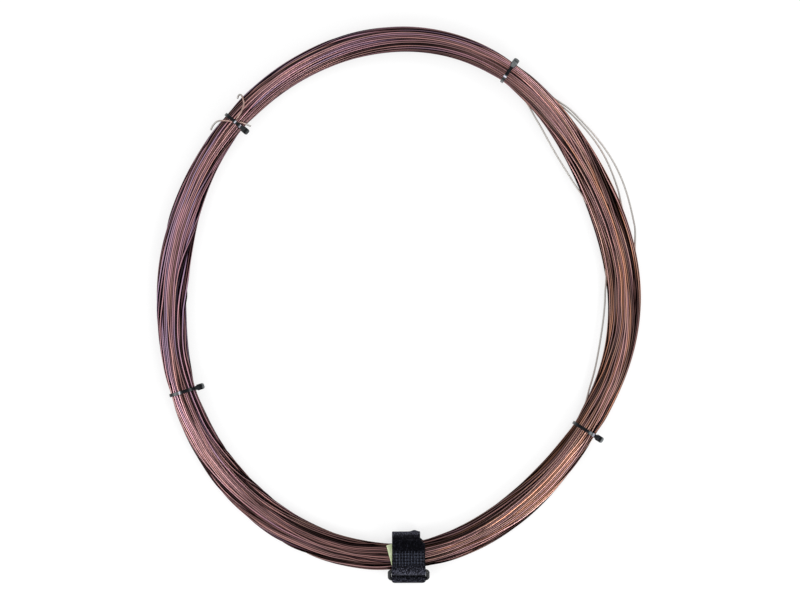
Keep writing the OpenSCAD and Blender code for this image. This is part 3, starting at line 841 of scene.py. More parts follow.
def sweep_head(skin, place, ties, bleached, tip):
    """The head in line with the band, with its slot and the trimmed end of the tail in it."""
    slot = rounded_outline(1.5 * MM, ties.width + 0.6 * MM, 0.25 * MM)
    plan = head_plan(ties, 0)
    angles = [np.arctan2(outline[:, 1], outline[:, 0]) for outline in (plan, slot)]
    angles.append(np.radians(np.arange(-180, 180, 7.5)))
    angles = np.unique(np.round(np.concatenate(angles), 5))
    high, edge = ties.head_height, 0.35 * MM
    rings = []
    for height, inset in (
        (0, 0.2), (0.2 * edge, 0.08), (0.5 * edge, 0), (high - edge, 0),
        (high - 0.45 * edge, 0.12), (high - 0.1 * edge, 0.34), (high, 0.75),
    ):
        ring = cut_at_angles(head_plan(ties, inset * edge), angles)
        rings.append(np.insert(ring, 1, height, axis=1))
    for height, grow in ((high + 0.12 * MM, 0.35), (high + 0.12 * MM, 0.1), (high * 0.45, 0)):
        ring = cut_at_angles(slot * (1 + grow), angles)
        rings.append(np.insert(ring, 1, height, axis=1))
    rings = np.array(rings)[:, ::-1]
    # Painted sheen, paler towards the head's far end
    far = np.clip((rings[..., 0] - ties.head_length / 2 + 2.2 * MM) / (0.7 * MM), 0, 1)
    skin.sweep(place(rings), row=(0.4, 0.7), bleached=bleached + tip * far)
    # Trimmed tail, toothed on the side of the pawl
    top, low, teeth = high + ties.stub, high * 0.3, 12
    rings = []
    for k in range(teeth + 1):
        height = low + (top - low) * k / teeth
        outline = rounded_outline(0.9 * MM - 0.16 * MM * (k % 2), ties.width, 0.15 * MM)
        rings.append(np.insert(outline - (0.08 * MM * (k % 2), 0), 1, height, axis=1))
    # Painted sheen on the tail, a share of the head's
    tail_sheen = np.full(len(rings), bleached * 0.6)
    skin.sweep(place(np.array(rings)[:, ::-1]), row=(0.7, 0.9), bleached=tail_sheen)
    # Pawl, from its foot to just under the head's top
    pawl = rounded_outline(0.6 * MM, ties.width * 0.5, 0.12 * MM) + (0.65 * MM, 0)
    rings = [np.insert(pawl, 1, high - 1.4 * MM + 1.0 * MM * k, axis=1) for k in range(2)]
    skin.sweep(place(np.array(rings)[:, ::-1]), row=(0.9, 1), bleached=np.zeros(2))


def draw_tie(name, binding, side, past, slope, sheen_marks, sizes, ties, material):
    """A cable tie: its band runs off the bundle's shoulder to the head, and back underneath."""
    skin = Skin("bleached")
    bleached, tip, glints = sheen_marks
    glints = [(side * middle * MM, reach * MM, amount) for middle, reach, amount in glints]
    shape = bound_shape(binding, sizes)
    reach = shape[0] / 2 + past
    mirrored = np.array((side, 1, side))

    def place(points):
        return at_binding(binding, points * mirrored)

    sweep_band(skin, place, tie_line(shape, slope, reach, SEAT + ties.thickness / 2), glints, ties)
    ahead = turned(1, -slope)
    slot = on_line(grown(shape, slope_phi(shape, slope), SEAT), ahead, reach)

    def place_head(points):
        """From the head's own axes: in line with the band, away from the bundle, and across."""
        x, y = points[..., 0], points[..., 1]
        out, up = slot[0] + x * ahead[0] - y * ahead[1], slot[1] + x * ahead[1] + y * ahead[0]
        return place(np.stack((out, up, points[..., 2]), -1))

    sweep_head(skin, place_head, ties, bleached, tip)
    piece = skin.build(f"nylon_tie_{name}", material)
    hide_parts(f"{name}_tie")


# ---- Strap ----


def arc(middle, radius, start, end, steps):
    return [middle + turned(radius, start + (end - start) * k / steps) for k in range(steps + 1)]


class StrapRoute:
    """Middle line of the strap in the section of the bundle: outward and up."""

    slack = 6.0 * MM
    slip_room = 0.45 * MM + 0.3 * MM
    buckle_pitch = 9.0 * MM
    buckle_tilt = 42
    # Where the loop's end begins to skew, over what length, and by how much
    skew_from, skew_run, skew = -9.0 * MM, 3.2 * MM, 3.6 * MM
    # The same for the spread of both edges at the fold, and for the narrowing beyond it
    spread_from, spread_run, spread = 9.5 * MM, 2 * MM, 0.5 * MM
    narrow_from, narrow_run, narrowing = 19.0 * MM, 2.2 * MM, 1.4 * MM

    def __init__(self, sizes, strap):
        shape = bound_shape(STRAP, sizes)
        half, self.half_bundle = strap.thickness / 2, shape[0] / 2
        self.top = shape[2] + shape[1] - FLAT_DEPTH
        self.first_layer = self.top + self.slip_room + SEAT + half
        self.tail_layer = self.first_layer + strap.thickness + SEAT
        self.bend = strap.bar / 2 + SEAT + half
        self.inner_bar = np.array((self.half_bundle + 1.5 * MM, self.first_layer + 0.1 * MM))
        self.outer_bar = self.inner_bar + turned(self.buckle_pitch, -self.buckle_tilt)
        inner, edge = -self.half_bundle - self.slack - half, self.half_bundle
        hem = [
            (edge + 1.1 * MM, half + 0.7 * MM + strap.thickness),
            (edge + 4.2 * MM, half + 2.4 * MM + strap.thickness),
        ]
        under = spline(
            [
                self.outer_bar + turned(self.bend, -58),
                (edge + 3.4 * MM, half + 2.4 * MM),
                (edge - 2 * MM, half),
                (0, half),
                (-edge, half),
                (inner + 3 * MM, half + 1.2 * MM),
                (inner, self.top * 0.5),
                (inner + 3 * MM, self.first_layer - 1.6 * MM),
                (inner + 8 * MM, self.first_layer),
                (0, self.first_layer),
                (edge / 2, self.first_layer),
            ],
            8,
        )
        over = spline(
            [
                (edge / 2, self.tail_layer),
                (0, self.tail_layer),
                (inner + 8 * MM, self.tail_layer),
                (inner + 4.4 * MM, self.tail_layer - 0.3 * MM),
            ],
            8,
        )
        round_outer = arc(self.outer_bar, self.bend, 260, -58, 30)
        round_inner = arc(self.inner_bar, self.bend, 225, 440, 24)
        route = list(hem) + round_outer + list(under[1:]) + round_inner + list(over)
        route = np.array(route)
        route[:, 1] = np.maximum(route[:, 1], half)
        self.points = route
        self.tail_end = over[-1][0]
        self.thickness = strap.thickness
        self.half_width = strap.width / 2

    def drawn_in(self, x, z):
        """How far across the strap a point lies: its loop's end is skewed, and its fold spread."""
        skewed = np.clip((self.skew_from - x) / self.skew_run, 0, 1) * self.skew
        spread = np.clip((x - self.spread_from) / self.spread_run, 0, 1) * self.spread
        narrowed = np.clip((x - self.narrow_from) / self.narrow_run, 0, 1) ** 2 * self.narrowing
        share = z / self.half_width
        return z + skewed * (1 - share) / 2 + (spread - narrowed) * share

    def top_at(self, x):
        """Height of the uppermost layer's outer face."""
        upper = self.points[self.points[:, 1] > self.tail_layer - 0.5 * MM]
        upper = upper[np.argsort(upper[:, 0])]
        return np.interp(x, upper[:, 0], upper[:, 1]) + self.thickness / 2


def draw_strap(sizes, strap, material):
    """The strap in one length, with rounded selvedges."""
    route = StrapRoute(sizes, strap)
    line = route.points
    normal = -rightward(np.gradient(line, axis=0))
    step = np.concatenate(([0], np.cumsum(np.linalg.norm(np.diff(line, axis=0), axis=1))))
    across = 40
    half = strap.width / 2
    profile = rounded_outline(strap.thickness, strap.width, strap.thickness * 0.45)
    # More points across both faces, for the bulge, the skew and the places of wear and painted
    # highlight
    dense = []
    for k in range(len(profile)):
        here, there = profile[k], profile[(k + 1) % len(profile)]
        count = across if np.linalg.norm(there - here) > half else 1
        dense += [here + (there - here) * t / count for t in range(count)]
    profile = np.array(dense)
    rings = np.zeros((len(line), len(profile), 3))
    rings[..., :2] = line[:, None] + profile[None, :, :1] * normal[:, None]
    # The loop's end bulges at one side
    bulge_at, bulge_reach, bulge_rise = -7.4 * MM, 2.8 * MM, 1.1 * MM
    bulge = bulge_rise * np.exp(-(((profile[:, 1] - bulge_at) / bulge_reach) ** 2))
    rings[..., 0] -= bulge * np.clip((-11 * MM - rings[..., 0]) / (5 * MM), 0, 1)
    rings[..., 2] = route.drawn_in(rings[..., 0], profile[:, 1])
    cloth = np.zeros(rings.shape)
    cloth[..., 0] = step[:, None]
    cloth[..., 1] = profile[:, 1]
    cloth[..., 2] = profile[:, 0]
    # Wear and painted highlight on the fold's roll, half as much beyond it and none low down, and at
    # the loop's end
    folded = np.clip((rings[..., 0] - 10.6 * MM) / (1.6 * MM), 0, 1)
    worn = folded * (1 - 0.5 * np.clip((rings[..., 0] - 15 * MM) / MM, 0, 1))
    worn *= np.clip((rings[..., 1] - 7 * MM) / (3 * MM), 0, 1)
    worn += np.clip((-15.2 * MM - rings[..., 0]) / (0.9 * MM), 0, 1)
    skin = Skin("cloth", "worn")
    skin.sweep(at_binding(STRAP, rings, STRAP_SKEW), cloth=cloth.reshape(-1, 3), worn=worn)
    piece = skin.build("strap_webbing", material)
    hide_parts("hook_loop_strap")
    return route


def draw_hook_pad(route, strap, material):
    """The pad of hooks: a lattice of ribs round square holes, on the tail beside the fold."""
    columns, rows, fine = 10, 5, 12
    low, high = -4.0 * MM, 7.3 * MM
    half = strap.width / 2 - 0.9 * MM
    x = np.linspace(low, high, rows * fine + 1)
    z = np.linspace(-half, half, columns * fine + 1)
    grid_x, grid_z = np.meshgrid(x, z, indexing="ij")
    u = (grid_x - low) / (high - low) * rows
    v = (grid_z + half) / (2 * half) * columns
    u_gap, v_gap = np.abs((u + 0.5) % 1 - 0.5), np.abs((v + 0.5) % 1 - 0.5)
    rib = np.clip((0.21 - np.minimum(u_gap, v_gap)) / 0.12, 0, 1)
    knot = np.clip((0.34 - np.hypot(u_gap, v_gap)) / 0.2, 0, 1)
    full_rise = 0.5 * MM
    rise = full_rise * np.maximum(0.72 * rib, knot)
    rim = (u < 0.02) | (u > rows - 0.02) | (v < 0.02) | (v > columns - 0.02)
    rise = np.where(rim, 0, rise)
    base = route.top_at(grid_x) - 0.31 * MM
    rings = np.stack((grid_x, base + 0.16 * MM + rise, grid_z), -1)
    under = np.stack((grid_x, base, grid_z), -1)
    loop = np.concatenate((rings, under[:, ::-1]), 1)
    cloth = np.zeros(loop.shape)
    cloth[:, : len(z), 0] = rise / full_rise
    skin = Skin("cloth")
    skin.sweep(at_binding(STRAP, loop[:, ::-1], STRAP_SKEW), cloth=cloth[:, ::-1].reshape(-1, 3))
    piece = skin.build("strap_hook_pad", material)


def draw_pile(route, strap, seed, material):
    """The pile of loops on the tail's free stretch, as small bent threads."""
    draw = np.random.default_rng(seed)
    base = route.tail_layer + strap.thickness / 2 - 0.1 * MM
    half = strap.width / 2 - 0.8 * MM
    skin = Skin()
    spacing, thread = 0.62 * MM, 0.07 * MM
    bend = np.linspace(0, math.pi, 6)
    for x in np.arange(route.tail_end + 1.2 * MM, -3.0 * MM, spacing):
        for z in np.arange(-half, half, spacing):
            spot = np.array((x, base, route.drawn_in(x, z)))
            spot += draw.uniform(-0.2, 0.2, 3) * (MM, 0, MM)
            turn = draw.uniform(0, 2 * math.pi)
            reach, rise = draw.uniform(0.25, 0.42) * MM, draw.uniform(0.35, 0.6) * MM
            lean = draw.uniform(-0.25, 0.25) * MM
            x_loop = spot[0] + reach * np.cos(bend) * math.cos(turn) + lean * np.sin(bend)
            z_loop = spot[2] + reach * np.cos(bend) * math.sin(turn) + lean * np.sin(bend)
            loop = np.stack((x_loop, spot[1] + rise * np.sin(bend), z_loop), -1)
            skin.sweep(wire_rings(at_binding(STRAP, loop, STRAP_SKEW), thread, 4))
    piece = skin.build("strap_pile", material)


# ---- Paper slip ----


def draw_slip(sizes, material):
    """The slip of paper caught under the strap, over the crest of the bundle."""
    shape = bound_shape(STRAP, sizes)
    length, width, turn = 16 * MM, 18 * MM, math.radians(9)
    show, inset, thick = 3.4 * MM, 0.9 * MM, 0.3 * MM
    corner = np.array(
        (
            -length / 2 * math.cos(turn) + width / 2 * math.sin(turn),
            length / 2 * math.sin(turn) + width / 2 * math.cos(turn),
        )
    )
    middle = np.array((inset - shape[0] / 2, 12.5 * MM + show)) - corner
    count = 40
    s, t = (np.linspace(-side / 2, side / 2, count) for side in (length, width))
    s, t = np.meshgrid(s, t, indexing="ij")
    x = middle[0] + s * math.cos(turn) + t * math.sin(turn)
    z = middle[1] - s * math.sin(turn) + t * math.cos(turn)
    line = band_route(shape, 0.45 * MM, 400)
    upper = line[line[:, 1] > shape[2] + shape[1] * 0.5]
    upper = upper[np.argsort(upper[:, 0])]
    y = np.interp(x, upper[:, 0], upper[:, 1])
    lower = np.stack((x, y, z), -1)
    raised = lower + np.array((0, thick, 0))
    loop = np.concatenate((raised, lower[:, ::-1]), 1)
    skin = Skin()
    skin.sweep(at_binding(STRAP, loop[:, ::-1]))
    piece = skin.build("slip_of_paper", material)
    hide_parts("paper_slip")


# ---- Materials ----


class Nodes:
    """A material's node tree, with short ways to add and join nodes."""

    def __init__(self, name):
        self.material = bpy.data.materials.new(name)
        self.material.use_nodes = True
        self.tree = self.material.node_tree
        self.tree.nodes.clear()
        self.surface = self.add("ShaderNodeBsdfPrincipled")
        output = self.add("ShaderNodeOutputMaterial")
        self.join(self.surface.outputs[0], output.inputs["Surface"])

    def add(self, kind, **settings):
        node = self.tree.nodes.new(kind)
        for key, value in settings.items():
            setattr(node, key, value)
        return node

    def join(self, source, target):
        self.tree.links.new(source, target)

    def give(self, socket, value):
        """Joins a socket to another, or sets it to a number or a colour."""
        if isinstance(value, bpy.types.NodeSocket):
            self.join(value, socket)
        else:
            socket.default_value = (*value, 1) if socket.type == "RGBA" else value

    def feed(self, node, **values):
        """Sets or joins inputs by name, with underscores for spaces."""
        for key, value in values.items():
            self.give(node.inputs[key.replace("_", " ")], value)

    def mark(self, name, output="Fac"):
        return self.add("ShaderNodeAttribute", attribute_name=name).outputs[output]

    def places(self):
        return self.add("ShaderNodeTexCoord").outputs["Object"]

    def stretched(self, vector, scale):
        node = self.add("ShaderNodeVectorMath", operation="MULTIPLY")
        self.join(vector, node.inputs[0])
        node.inputs[1].default_value = scale
        return node.outputs[0]

    def scaled(self, vector, share):
        node = self.add("ShaderNodeVectorMath", operation="SCALE")
        self.join(vector, node.inputs[0])
        self.join(share, node.inputs["Scale"])
        return node.outputs[0]

    def noise(self, vector, scale, detail=2.0, rough=0.5):
        node = self.add("ShaderNodeTexNoise")
        self.feed(node, Vector=vector, Scale=scale, Detail=detail, Roughness=rough)
        return node.outputs["Fac"]

    def remap(self, value, low, high, to_low=0.0, to_high=1.0):
        node = self.add("ShaderNodeMapRange")
        self.feed(node, Value=value, From_Min=low, From_Max=high, To_Min=to_low, To_Max=to_high)
        return node.outputs["Result"]

    def maths(self, operation, a, b):
        node = self.add("ShaderNodeMath", operation=operation)
        for socket, value in zip(node.inputs, (a, b)):
            self.give(socket, value)
        return node.outputs[0]

    def times(self, a, b):
        return self.maths("MULTIPLY", a, b)

    def plus(self, a, b):
        return self.maths("ADD", a, b)

    def ramp(self, value, stops):
        node = self.add("ShaderNodeValToRGB")
        self.join(value, node.inputs["Fac"])
        elements = node.color_ramp.elements
        while len(elements) < len(stops):
            elements.new(0.5)
        for element, (place, colour) in zip(elements, stops):
            element.position = place
            element.color = (*colour, 1)
        return node.outputs["Color"]

    def blend(self, share, a, b):
        node = self.add("ShaderNodeMix", data_type="RGBA")
        for socket, value in zip((node.inputs[0], node.inputs[6], node.inputs[7]), (share, a, b)):
            self.give(socket, value)
        return node.outputs[2]

    def bump(self, height, strength, distance):
        node = self.add("ShaderNodeBump")
        self.feed(node, Height=height, Strength=strength, Distance=distance)
        self.join(node.outputs["Normal"], self.surface.inputs["Normal"])


def tarnished_copper(name, finish, loose=False):
    """Copper clouded to purple, rose and tan, by hank and by turn, with painted shade where it lies
    deep and on the flanks that face its neighbours, painted highlight on the crests that face out, and
    painted light and shade round the ring.
    """
    nodes = Nodes(name)
    lay = nodes.mark("lay", "Vector")
    tone = nodes.mark("tone")
    warmth = nodes.mark("warmth")
    sunk = nodes.mark("sunk")
    by_hank = nodes.noise(nodes.stretched(lay, (7, 0, 3.1)), 1.0, 2)
    by_turn = nodes.noise(nodes.stretched(lay, (14, 9, 1)), 1.0, 2)
    hue = nodes.plus(nodes.times(by_hank, 0.7), nodes.times(by_turn, 0.65))
    hue = nodes.plus(hue, nodes.times(warmth, 0.27))
    colour = nodes.ramp(
        nodes.remap(hue, 0.6, 1.03),
        (
            (0.0, finish.purple),
            (0.22, finish.mauve),
            (0.38, finish.plum),
            (0.55, finish.rose),
            (0.68, finish.plum),
            (0.82, finish.tan),
            (1.0, finish.bright),
        ),
    )
    patches = nodes.noise(nodes.stretched(lay, (11, 5, 3)), 1.0, 3, 0.6)
    bands = nodes.noise(nodes.stretched(lay, (8, 0.9, 4.3)), 1.0, 2)
    shade = nodes.plus(nodes.times(tone, 0.42), nodes.times(patches, 0.7))
    shade = nodes.plus(shade, nodes.times(bands, 0.6))
    shade = nodes.remap(shade, 0.66, 1.13, finish.shade_low, finish.shade_high)
    shade = nodes.times(shade, nodes.remap(tone, 0.9, 1.0, 1.0, finish.polished))
    if loose:
        shade = nodes.remap(patches, 0.3, 0.7, 0.8, 1.05)
        # Painted reflection: clear of the bundle a loose wire is pale grey, as the white floor it
        # mirrors; over the bundle, and on some turns at random, it is rosier
        rosy = nodes.maths("MAXIMUM", warmth, nodes.remap(by_turn, 0.52, 0.75, 0.0, 0.6))
        colour = nodes.blend(rosy, finish.pale_reflection, finish.pale_rose)
    else:
        rubbed = nodes.mark("rubbed")
        # Painted light and shade: crests that face out of the bundle are brightened, flanks that face
        # the neighbouring turns darkened
        shade = nodes.times(shade, nodes.remap(rubbed, 0.45, 1.0, finish.flank_shade, 1.7))
        # Painted light and shade round the ring, and from the inside to the outside of the bundle
        shade = nodes.times(shade, nodes.mark("clearness"))
        # Painted shade: turns that lie deep are darkened, down to the finish's brightness for deep
        # turns
        clear = nodes.remap(sunk, 0.0, 0.65, 1.0, finish.deep_shade)
        shade = nodes.times(shade, clear)
        varnish = nodes.times(nodes.times(clear, nodes.remap(rubbed, 0.3, 0.9)), shade)
        nodes.feed(nodes.surface, Coat_Weight=nodes.times(varnish, 0.9))
    colour = nodes.scaled(colour, shade)
    smooth, dull = (0.34, 0.5) if loose else (0.22, 0.4)
    rough = nodes.noise(nodes.stretched(lay, (18, 20, 1)), 1.0, 2)
    rough = nodes.remap(rough, 0.35, 0.65, smooth, dull)
    nodes.feed(nodes.surface, Base_Color=colour, Metallic=1.0, Roughness=rough)
    nodes.surface.inputs["Specular Tint"].default_value = (0.3, 0.25, 0.25, 1)
    nodes.surface.inputs["Coat Roughness"].default_value = 0.25
    nodes.surface.inputs["Coat IOR"].default_value = 2.0
    nodes.bump(nodes.noise(nodes.places(), 1400, 2), 0.1, 0.02 * MM)
    return nodes.material


def tie_nylon(finish):
    """Black moulded nylon, slightly uneven and dusty, with painted sheen in grey and painted glints in
    near white where marked.
    """
    nodes = Nodes("tie_nylon")
    places = nodes.places()
    dust = nodes.noise(places, 700, 4, 0.6)
    colour = nodes.ramp(dust, ((0.4, finish.nylon), (0.8, finish.nylon_worn)))
    # Dust breaks up the painted sheen and the painted glints
    worn = nodes.remap(dust, 0.35, 0.65, 0.6, 1.1)
    bleached = nodes.times(nodes.mark("bleached"), worn)
    # Painted sheen in grey
    colour = nodes.blend(bleached, colour, finish.nylon_sheen)
    # Painted glints in near white where the mark passes 1
    colour = nodes.blend(nodes.remap(bleached, 1.0, 1.8), colour, finish.nylon_glint)
    rough = nodes.remap(nodes.noise(places, 1500, 3), 0.3, 0.7, 0.1, 0.28)
    nodes.feed(nodes.surface, Base_Color=colour, Roughness=rough)
    nodes.surface.inputs["Specular IOR Level"].default_value = 0.1
    nodes.bump(nodes.noise(places, 320, 2), 0.6, 0.35 * MM)
    return nodes.material


def strap_cloth(finish):
    """Black woven webbing: ribs along and across, with lighter fibres where it is worn and a painted
    highlight on the fold's roll.
    """
    nodes = Nodes("strap_webbing")
    cloth = nodes.mark("cloth", "Vector")
    worn = nodes.mark("worn")
    ribs = nodes.add("ShaderNodeTexWave", wave_type="BANDS", bands_direction="X")
    nodes.feed(ribs, Vector=cloth, Scale=420.0, Distortion=1.5, Detail=2.0)
    cords = nodes.add("ShaderNodeTexWave", wave_type="BANDS", bands_direction="Y")
    nodes.feed(cords, Vector=cloth, Scale=300.0, Distortion=1.5, Detail=2.0)
    weave = nodes.times(ribs.outputs["Fac"], cords.outputs["Fac"])
    fibres = nodes.noise(nodes.stretched(cloth, (1, 1.5, 1)), 1000, 3, 0.75)
    fibres = nodes.remap(fibres, 0.34, 0.66, 0.05, 0.95)
    shown = nodes.plus(nodes.times(weave, 0.1), nodes.times(fibres, 0.7))
    # Wear and painted highlight lift the colour towards the fibres' grey
    shown = nodes.plus(shown, nodes.times(worn, 0.22))
    colour = nodes.ramp(
        shown,
        ((0.42, finish.webbing), (0.58, finish.webbing_worn), (0.78, finish.webbing_fibre)),
    )
    nodes.feed(nodes.surface, Base_Color=colour, Roughness=0.85)
    nodes.surface.inputs["Specular IOR Level"].default_value = 0.05
    nodes.surface.inputs["Sheen Weight"].default_value = 0.03
    nodes.bump(nodes.plus(weave, fibres), 0.6, 0.12 * MM)
    return nodes.material


def hook_plastic(finish):
    """The hook pad: black between the ribs, bluish grey along their tops, with painted shade down
    their sides.
    """
    nodes = Nodes("strap_hook_pad")
    rise = nodes.add("ShaderNodeSeparateXYZ")
    nodes.join(nodes.mark("cloth", "Vector"), rise.inputs[0])
    specks = nodes.noise(nodes.places(), 1100, 3, 0.75)
    height = nodes.times(rise.outputs[0], nodes.remap(specks, 0.36, 0.62, 0.3, 1.15))
    # Colour by height: bluish grey on top, painted shade on the sides, black below
    stops = ((0.2, finish.webbing), (0.55, finish.hook_shadow), (0.95, finish.hook))
    colour = nodes.ramp(height, stops)
    nodes.feed(nodes.surface, Base_Color=colour, Roughness=0.6)
    nodes.surface.inputs["Specular IOR Level"].default_value = 0.07
    nodes.bump(specks, 0.5, 0.1 * MM)
    return nodes.material


def pile_thread(finish):
    nodes = Nodes("strap_pile")
    fluff = nodes.noise(nodes.places(), 900, 3, 0.7)
    colour = nodes.ramp(fluff, ((0.5, finish.webbing), (0.85, finish.webbing_worn)))
    nodes.feed(nodes.surface, Base_Color=colour, Roughness=0.8)
    nodes.surface.inputs["Specular IOR Level"].default_value = 0.02
    return nodes.material


def buckle_plastic(finish):
    """Glossy black plastic, faintly scuffed."""
    nodes = Nodes("buckle_plastic")
    places = nodes.places()
    scuffs = nodes.noise(nodes.stretched(places, (1, 3, 1)), 1200, 4, 0.65)
    colour = nodes.ramp(scuffs, ((0.45, finish.nylon), (0.8, finish.nylon_worn)))
    nodes.feed(nodes.surface, Base_Color=colour, Roughness=nodes.remap(scuffs, 0.3, 0.7, 0.14, 0.34))
    nodes.surface.inputs["Specular IOR Level"].default_value = 0.3
    nodes.bump(scuffs, 0.1, 0.03 * MM)
    return nodes.material


def slip_paper(finish):
    """Pale green paper, mottled with a faded green."""
    nodes = Nodes("slip_paper")
    places = nodes.places()
    mottle = nodes.noise(places, 420, 5, 0.65)
    colour = nodes.ramp(mottle, ((0.3, finish.paper), (0.7, finish.paper_faded)))
    nodes.feed(nodes.surface, Base_Color=colour, Roughness=0.75)
    nodes.bump(nodes.noise(places, 2600, 3, 0.7), 0.35, 0.05 * MM)
    return nodes.material


def floor_white(stage):
    """White floor that keeps a soft trace of the object's shadow."""
    nodes = Nodes("floor_white")
    mottle = nodes.noise(nodes.places(), 14, 2)
    light = tuple(min(1, c * 1.02) for c in stage.floor)
    colour = nodes.ramp(mottle, ((0.0, stage.floor), (1.0, light)))
    nodes.feed(nodes.surface, Base_Color=colour, Roughness=0.9)
    paths = nodes.add("ShaderNodeLightPath")
    seen = nodes.maths("MAXIMUM", paths.outputs["Is Camera Ray"], paths.outputs["Is Glossy Ray"])
    seen = nodes.maths("MAXIMUM", seen, paths.outputs["Is Transmission Ray"])
    glow = nodes.add("ShaderNodeEmission")
    glow.inputs["Strength"].default_value = 1.0
    share = nodes.add("ShaderNodeMixShader")
    nodes.join(nodes.times(seen, stage.floor_glow), share.inputs[0])
    nodes.join(nodes.surface.outputs[0], share.inputs[1])
    nodes.join(glow.outputs[0], share.inputs[2])
    output = next(n for n in nodes.tree.nodes if n.type == "OUTPUT_MATERIAL")
    nodes.join(share.outputs[0], output.inputs["Surface"])
    return nodes.material


# ---- Settings ----


def number(name, description, default, **more):
    return FloatProperty(name=name, description=description, default=default, min=0, **more)


def length(name, description, default):
    return number(name, description, default, unit="LENGTH", precision=5)


def power(name, description, default):
    return number(name, description, default, subtype="POWER")


def count(name, description, default, least):
    return IntProperty(name=name, description=description, default=default, min=least)


def colour(name, description, default):
    return FloatVectorProperty(
        name=name, description=description, default=default, size=3, min=0, max=1, subtype="COLOR"
    )


class CoilSizes(PropertyGroup):
    wire: length("Wire", "Diameter of the copper wire", 1.3 * MM)
    turns: count("Turns", "Turns of wire in the coil", 128, 50)
    hanks: count("Hanks", "Hanks that the turns lie in", 14, 7)
    strays: count("Strays", "Outer turns that cross over others", 7, 0)
    drawn_depth: length("Drawn depth", "Depth to which turns are drawn one by one", 2.7 * MM)
    fullness: number("Fullness", "Drawn share of the wire's diameter", 0.93)
    parting: number("Parting", "Room between hanks, in wires", 0.8)
    sides: count("Sides", "Sides of each drawn turn", 8, 3)
    sinking: number("Sinking", "Degrees in which a loose turn sinks in", 7.0)
    seed: count("Seed", "Seed of the lay of the turns", 7, 0)


class TieSizes(PropertyGroup):
    width: length("Width", "Width of the band", 2.5 * MM)
    thickness: length("Thickness", "Thickness of the band", 1.1 * MM)
    head_length: length("Head length", "Length of the head in line with the band", 5.4 * MM)
    head_width: length("Head width", "Width of the head across the band", 4.6 * MM)
    head_height: length("Head height", "Height of the head above the band's inner face", 3.2 * MM)
    neck: length("Neck", "Length over which the band widens into the head", 2.2 * MM)
    stub: length("Tail", "Length of the trimmed tail outside the head", 0.4 * MM)


class StrapSizes(PropertyGroup):
    width: length("Width", "Width of the strap", 25 * MM)
    thickness: length("Thickness", "Thickness of the strap", 1.5 * MM)
    bar: length("Buckle bar", "Diameter of the buckle's bars", 2.8 * MM)


class CoilFinish(PropertyGroup):
    purple: colour("Purple", "Most clouded copper", (0.25, 0.13, 0.235))
    mauve: colour("Mauve", "Clouded copper", (0.42, 0.166, 0.205))
    plum: colour("Plum", "Dark clouded copper", (0.27, 0.108, 0.108))
    rose: colour("Rose", "Half clouded copper", (0.46, 0.19, 0.17))
    tan: colour("Tan", "Browned copper", (0.41, 0.198, 0.145))
    bright: colour("Bright", "Clear copper", (0.62, 0.24, 0.13))
    # Painted reflection of the white floor on the loose turns
    pale_reflection: colour("Pale", "Turns that have sprung clear", (0.43, 0.41, 0.39))
    pale_rose: colour("Pale rose", "Turns that have sprung clear, less rubbed", (0.40, 0.27, 0.235))
    shade_low: number("Dull", "Brightness of the dullest turns", 0.05)
    shade_high: number("Clear", "Brightness of the clearest turns", 0.95)
    polished: number("Polished", "Gain of the few turns rubbed clean", 2.0)
    # Painted shade of the flanks that face the neighbouring turns
    flank_shade: number("Flanks", "Brightness of the flanks, off the rubbed crests", 0.08)
    # Painted shade of the turns that lie deep
    deep_shade: number("Soot", "Brightness of the turns that lie deep", 0.08)
    nylon: colour("Nylon", "Black of the ties and buckle", (0.002, 0.002, 0.003))
    nylon_worn: colour("Worn nylon", "Dusty black of the ties and buckle", (0.010, 0.011, 0.014))
    # Painted sheen on the tie heads and bands
    nylon_sheen: colour("Bleached nylon", "Grey of the sun-bleached tie heads", (0.13, 0.14, 0.143))
    # Painted glints on the bands
    nylon_glint: colour("Whitened nylon", "Where a band has been bent sharply", (0.62, 0.61, 0.72))
    webbing: colour("Webbing", "Black of the strap", (0.001, 0.001, 0.002))
    webbing_worn: colour("Worn webbing", "Lighter ribs of the strap", (0.007, 0.007, 0.012))
    webbing_fibre: colour("Fibres", "Stray fibres of the strap", (0.075, 0.078, 0.105))
    hook: colour("Hooks", "Tops of the hook pad's ribs", (0.062, 0.072, 0.10))
    hook_shadow: colour("Hook sides", "Sides of the hook pad's ribs", (0.012, 0.014, 0.022))
    paper: colour("Paper", "Green of the paper slip", (0.42, 0.52, 0.24))
    paper_faded: colour("Faded paper", "Faded green of the paper slip", (0.74, 0.78, 0.56))


class CoilStage(PropertyGroup):
    floor: colour("Floor", "White of the floor", (0.86, 0.86, 0.865))
    floor_glow: number("Floor glow", "Share of the floor seen as plain white", 0.7)
    camera_height: length("Camera height", "Height of the camera over the coil", 1.5)
    view_width: length("View width", "Width that the camera sees at the coil", 608.0 * MM)
    key: power("Key", "Power of the key lamp", 8.0)
    side: power("Side", "Power of the side lamp", 5.0)
    back: power("Back", "Power of the back lamp", 4.5)
    room: number("Room", "Strength of the room's light", 0.95)


# ---- Operators ----


class COIL_OT_lay_turns(Operator):
    """Lay the bound turns of the coil, hank by hank"""

    bl_idname = "coil.lay_turns"
    bl_label = "Lay the bound turns"

    def execute(self, context):
        sizes, finish = context.scene.coil_sizes, context.scene.coil_finish
        lay, pieces = lay_hanks(sizes, tarnished_copper("copper_wire", finish))
        pieces.append(lay_inner_turns(lay, sizes, tarnished_copper("copper_wire_inside", finish)))
        for piece in pieces:
            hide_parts("wire_coil")
        return {"FINISHED"}


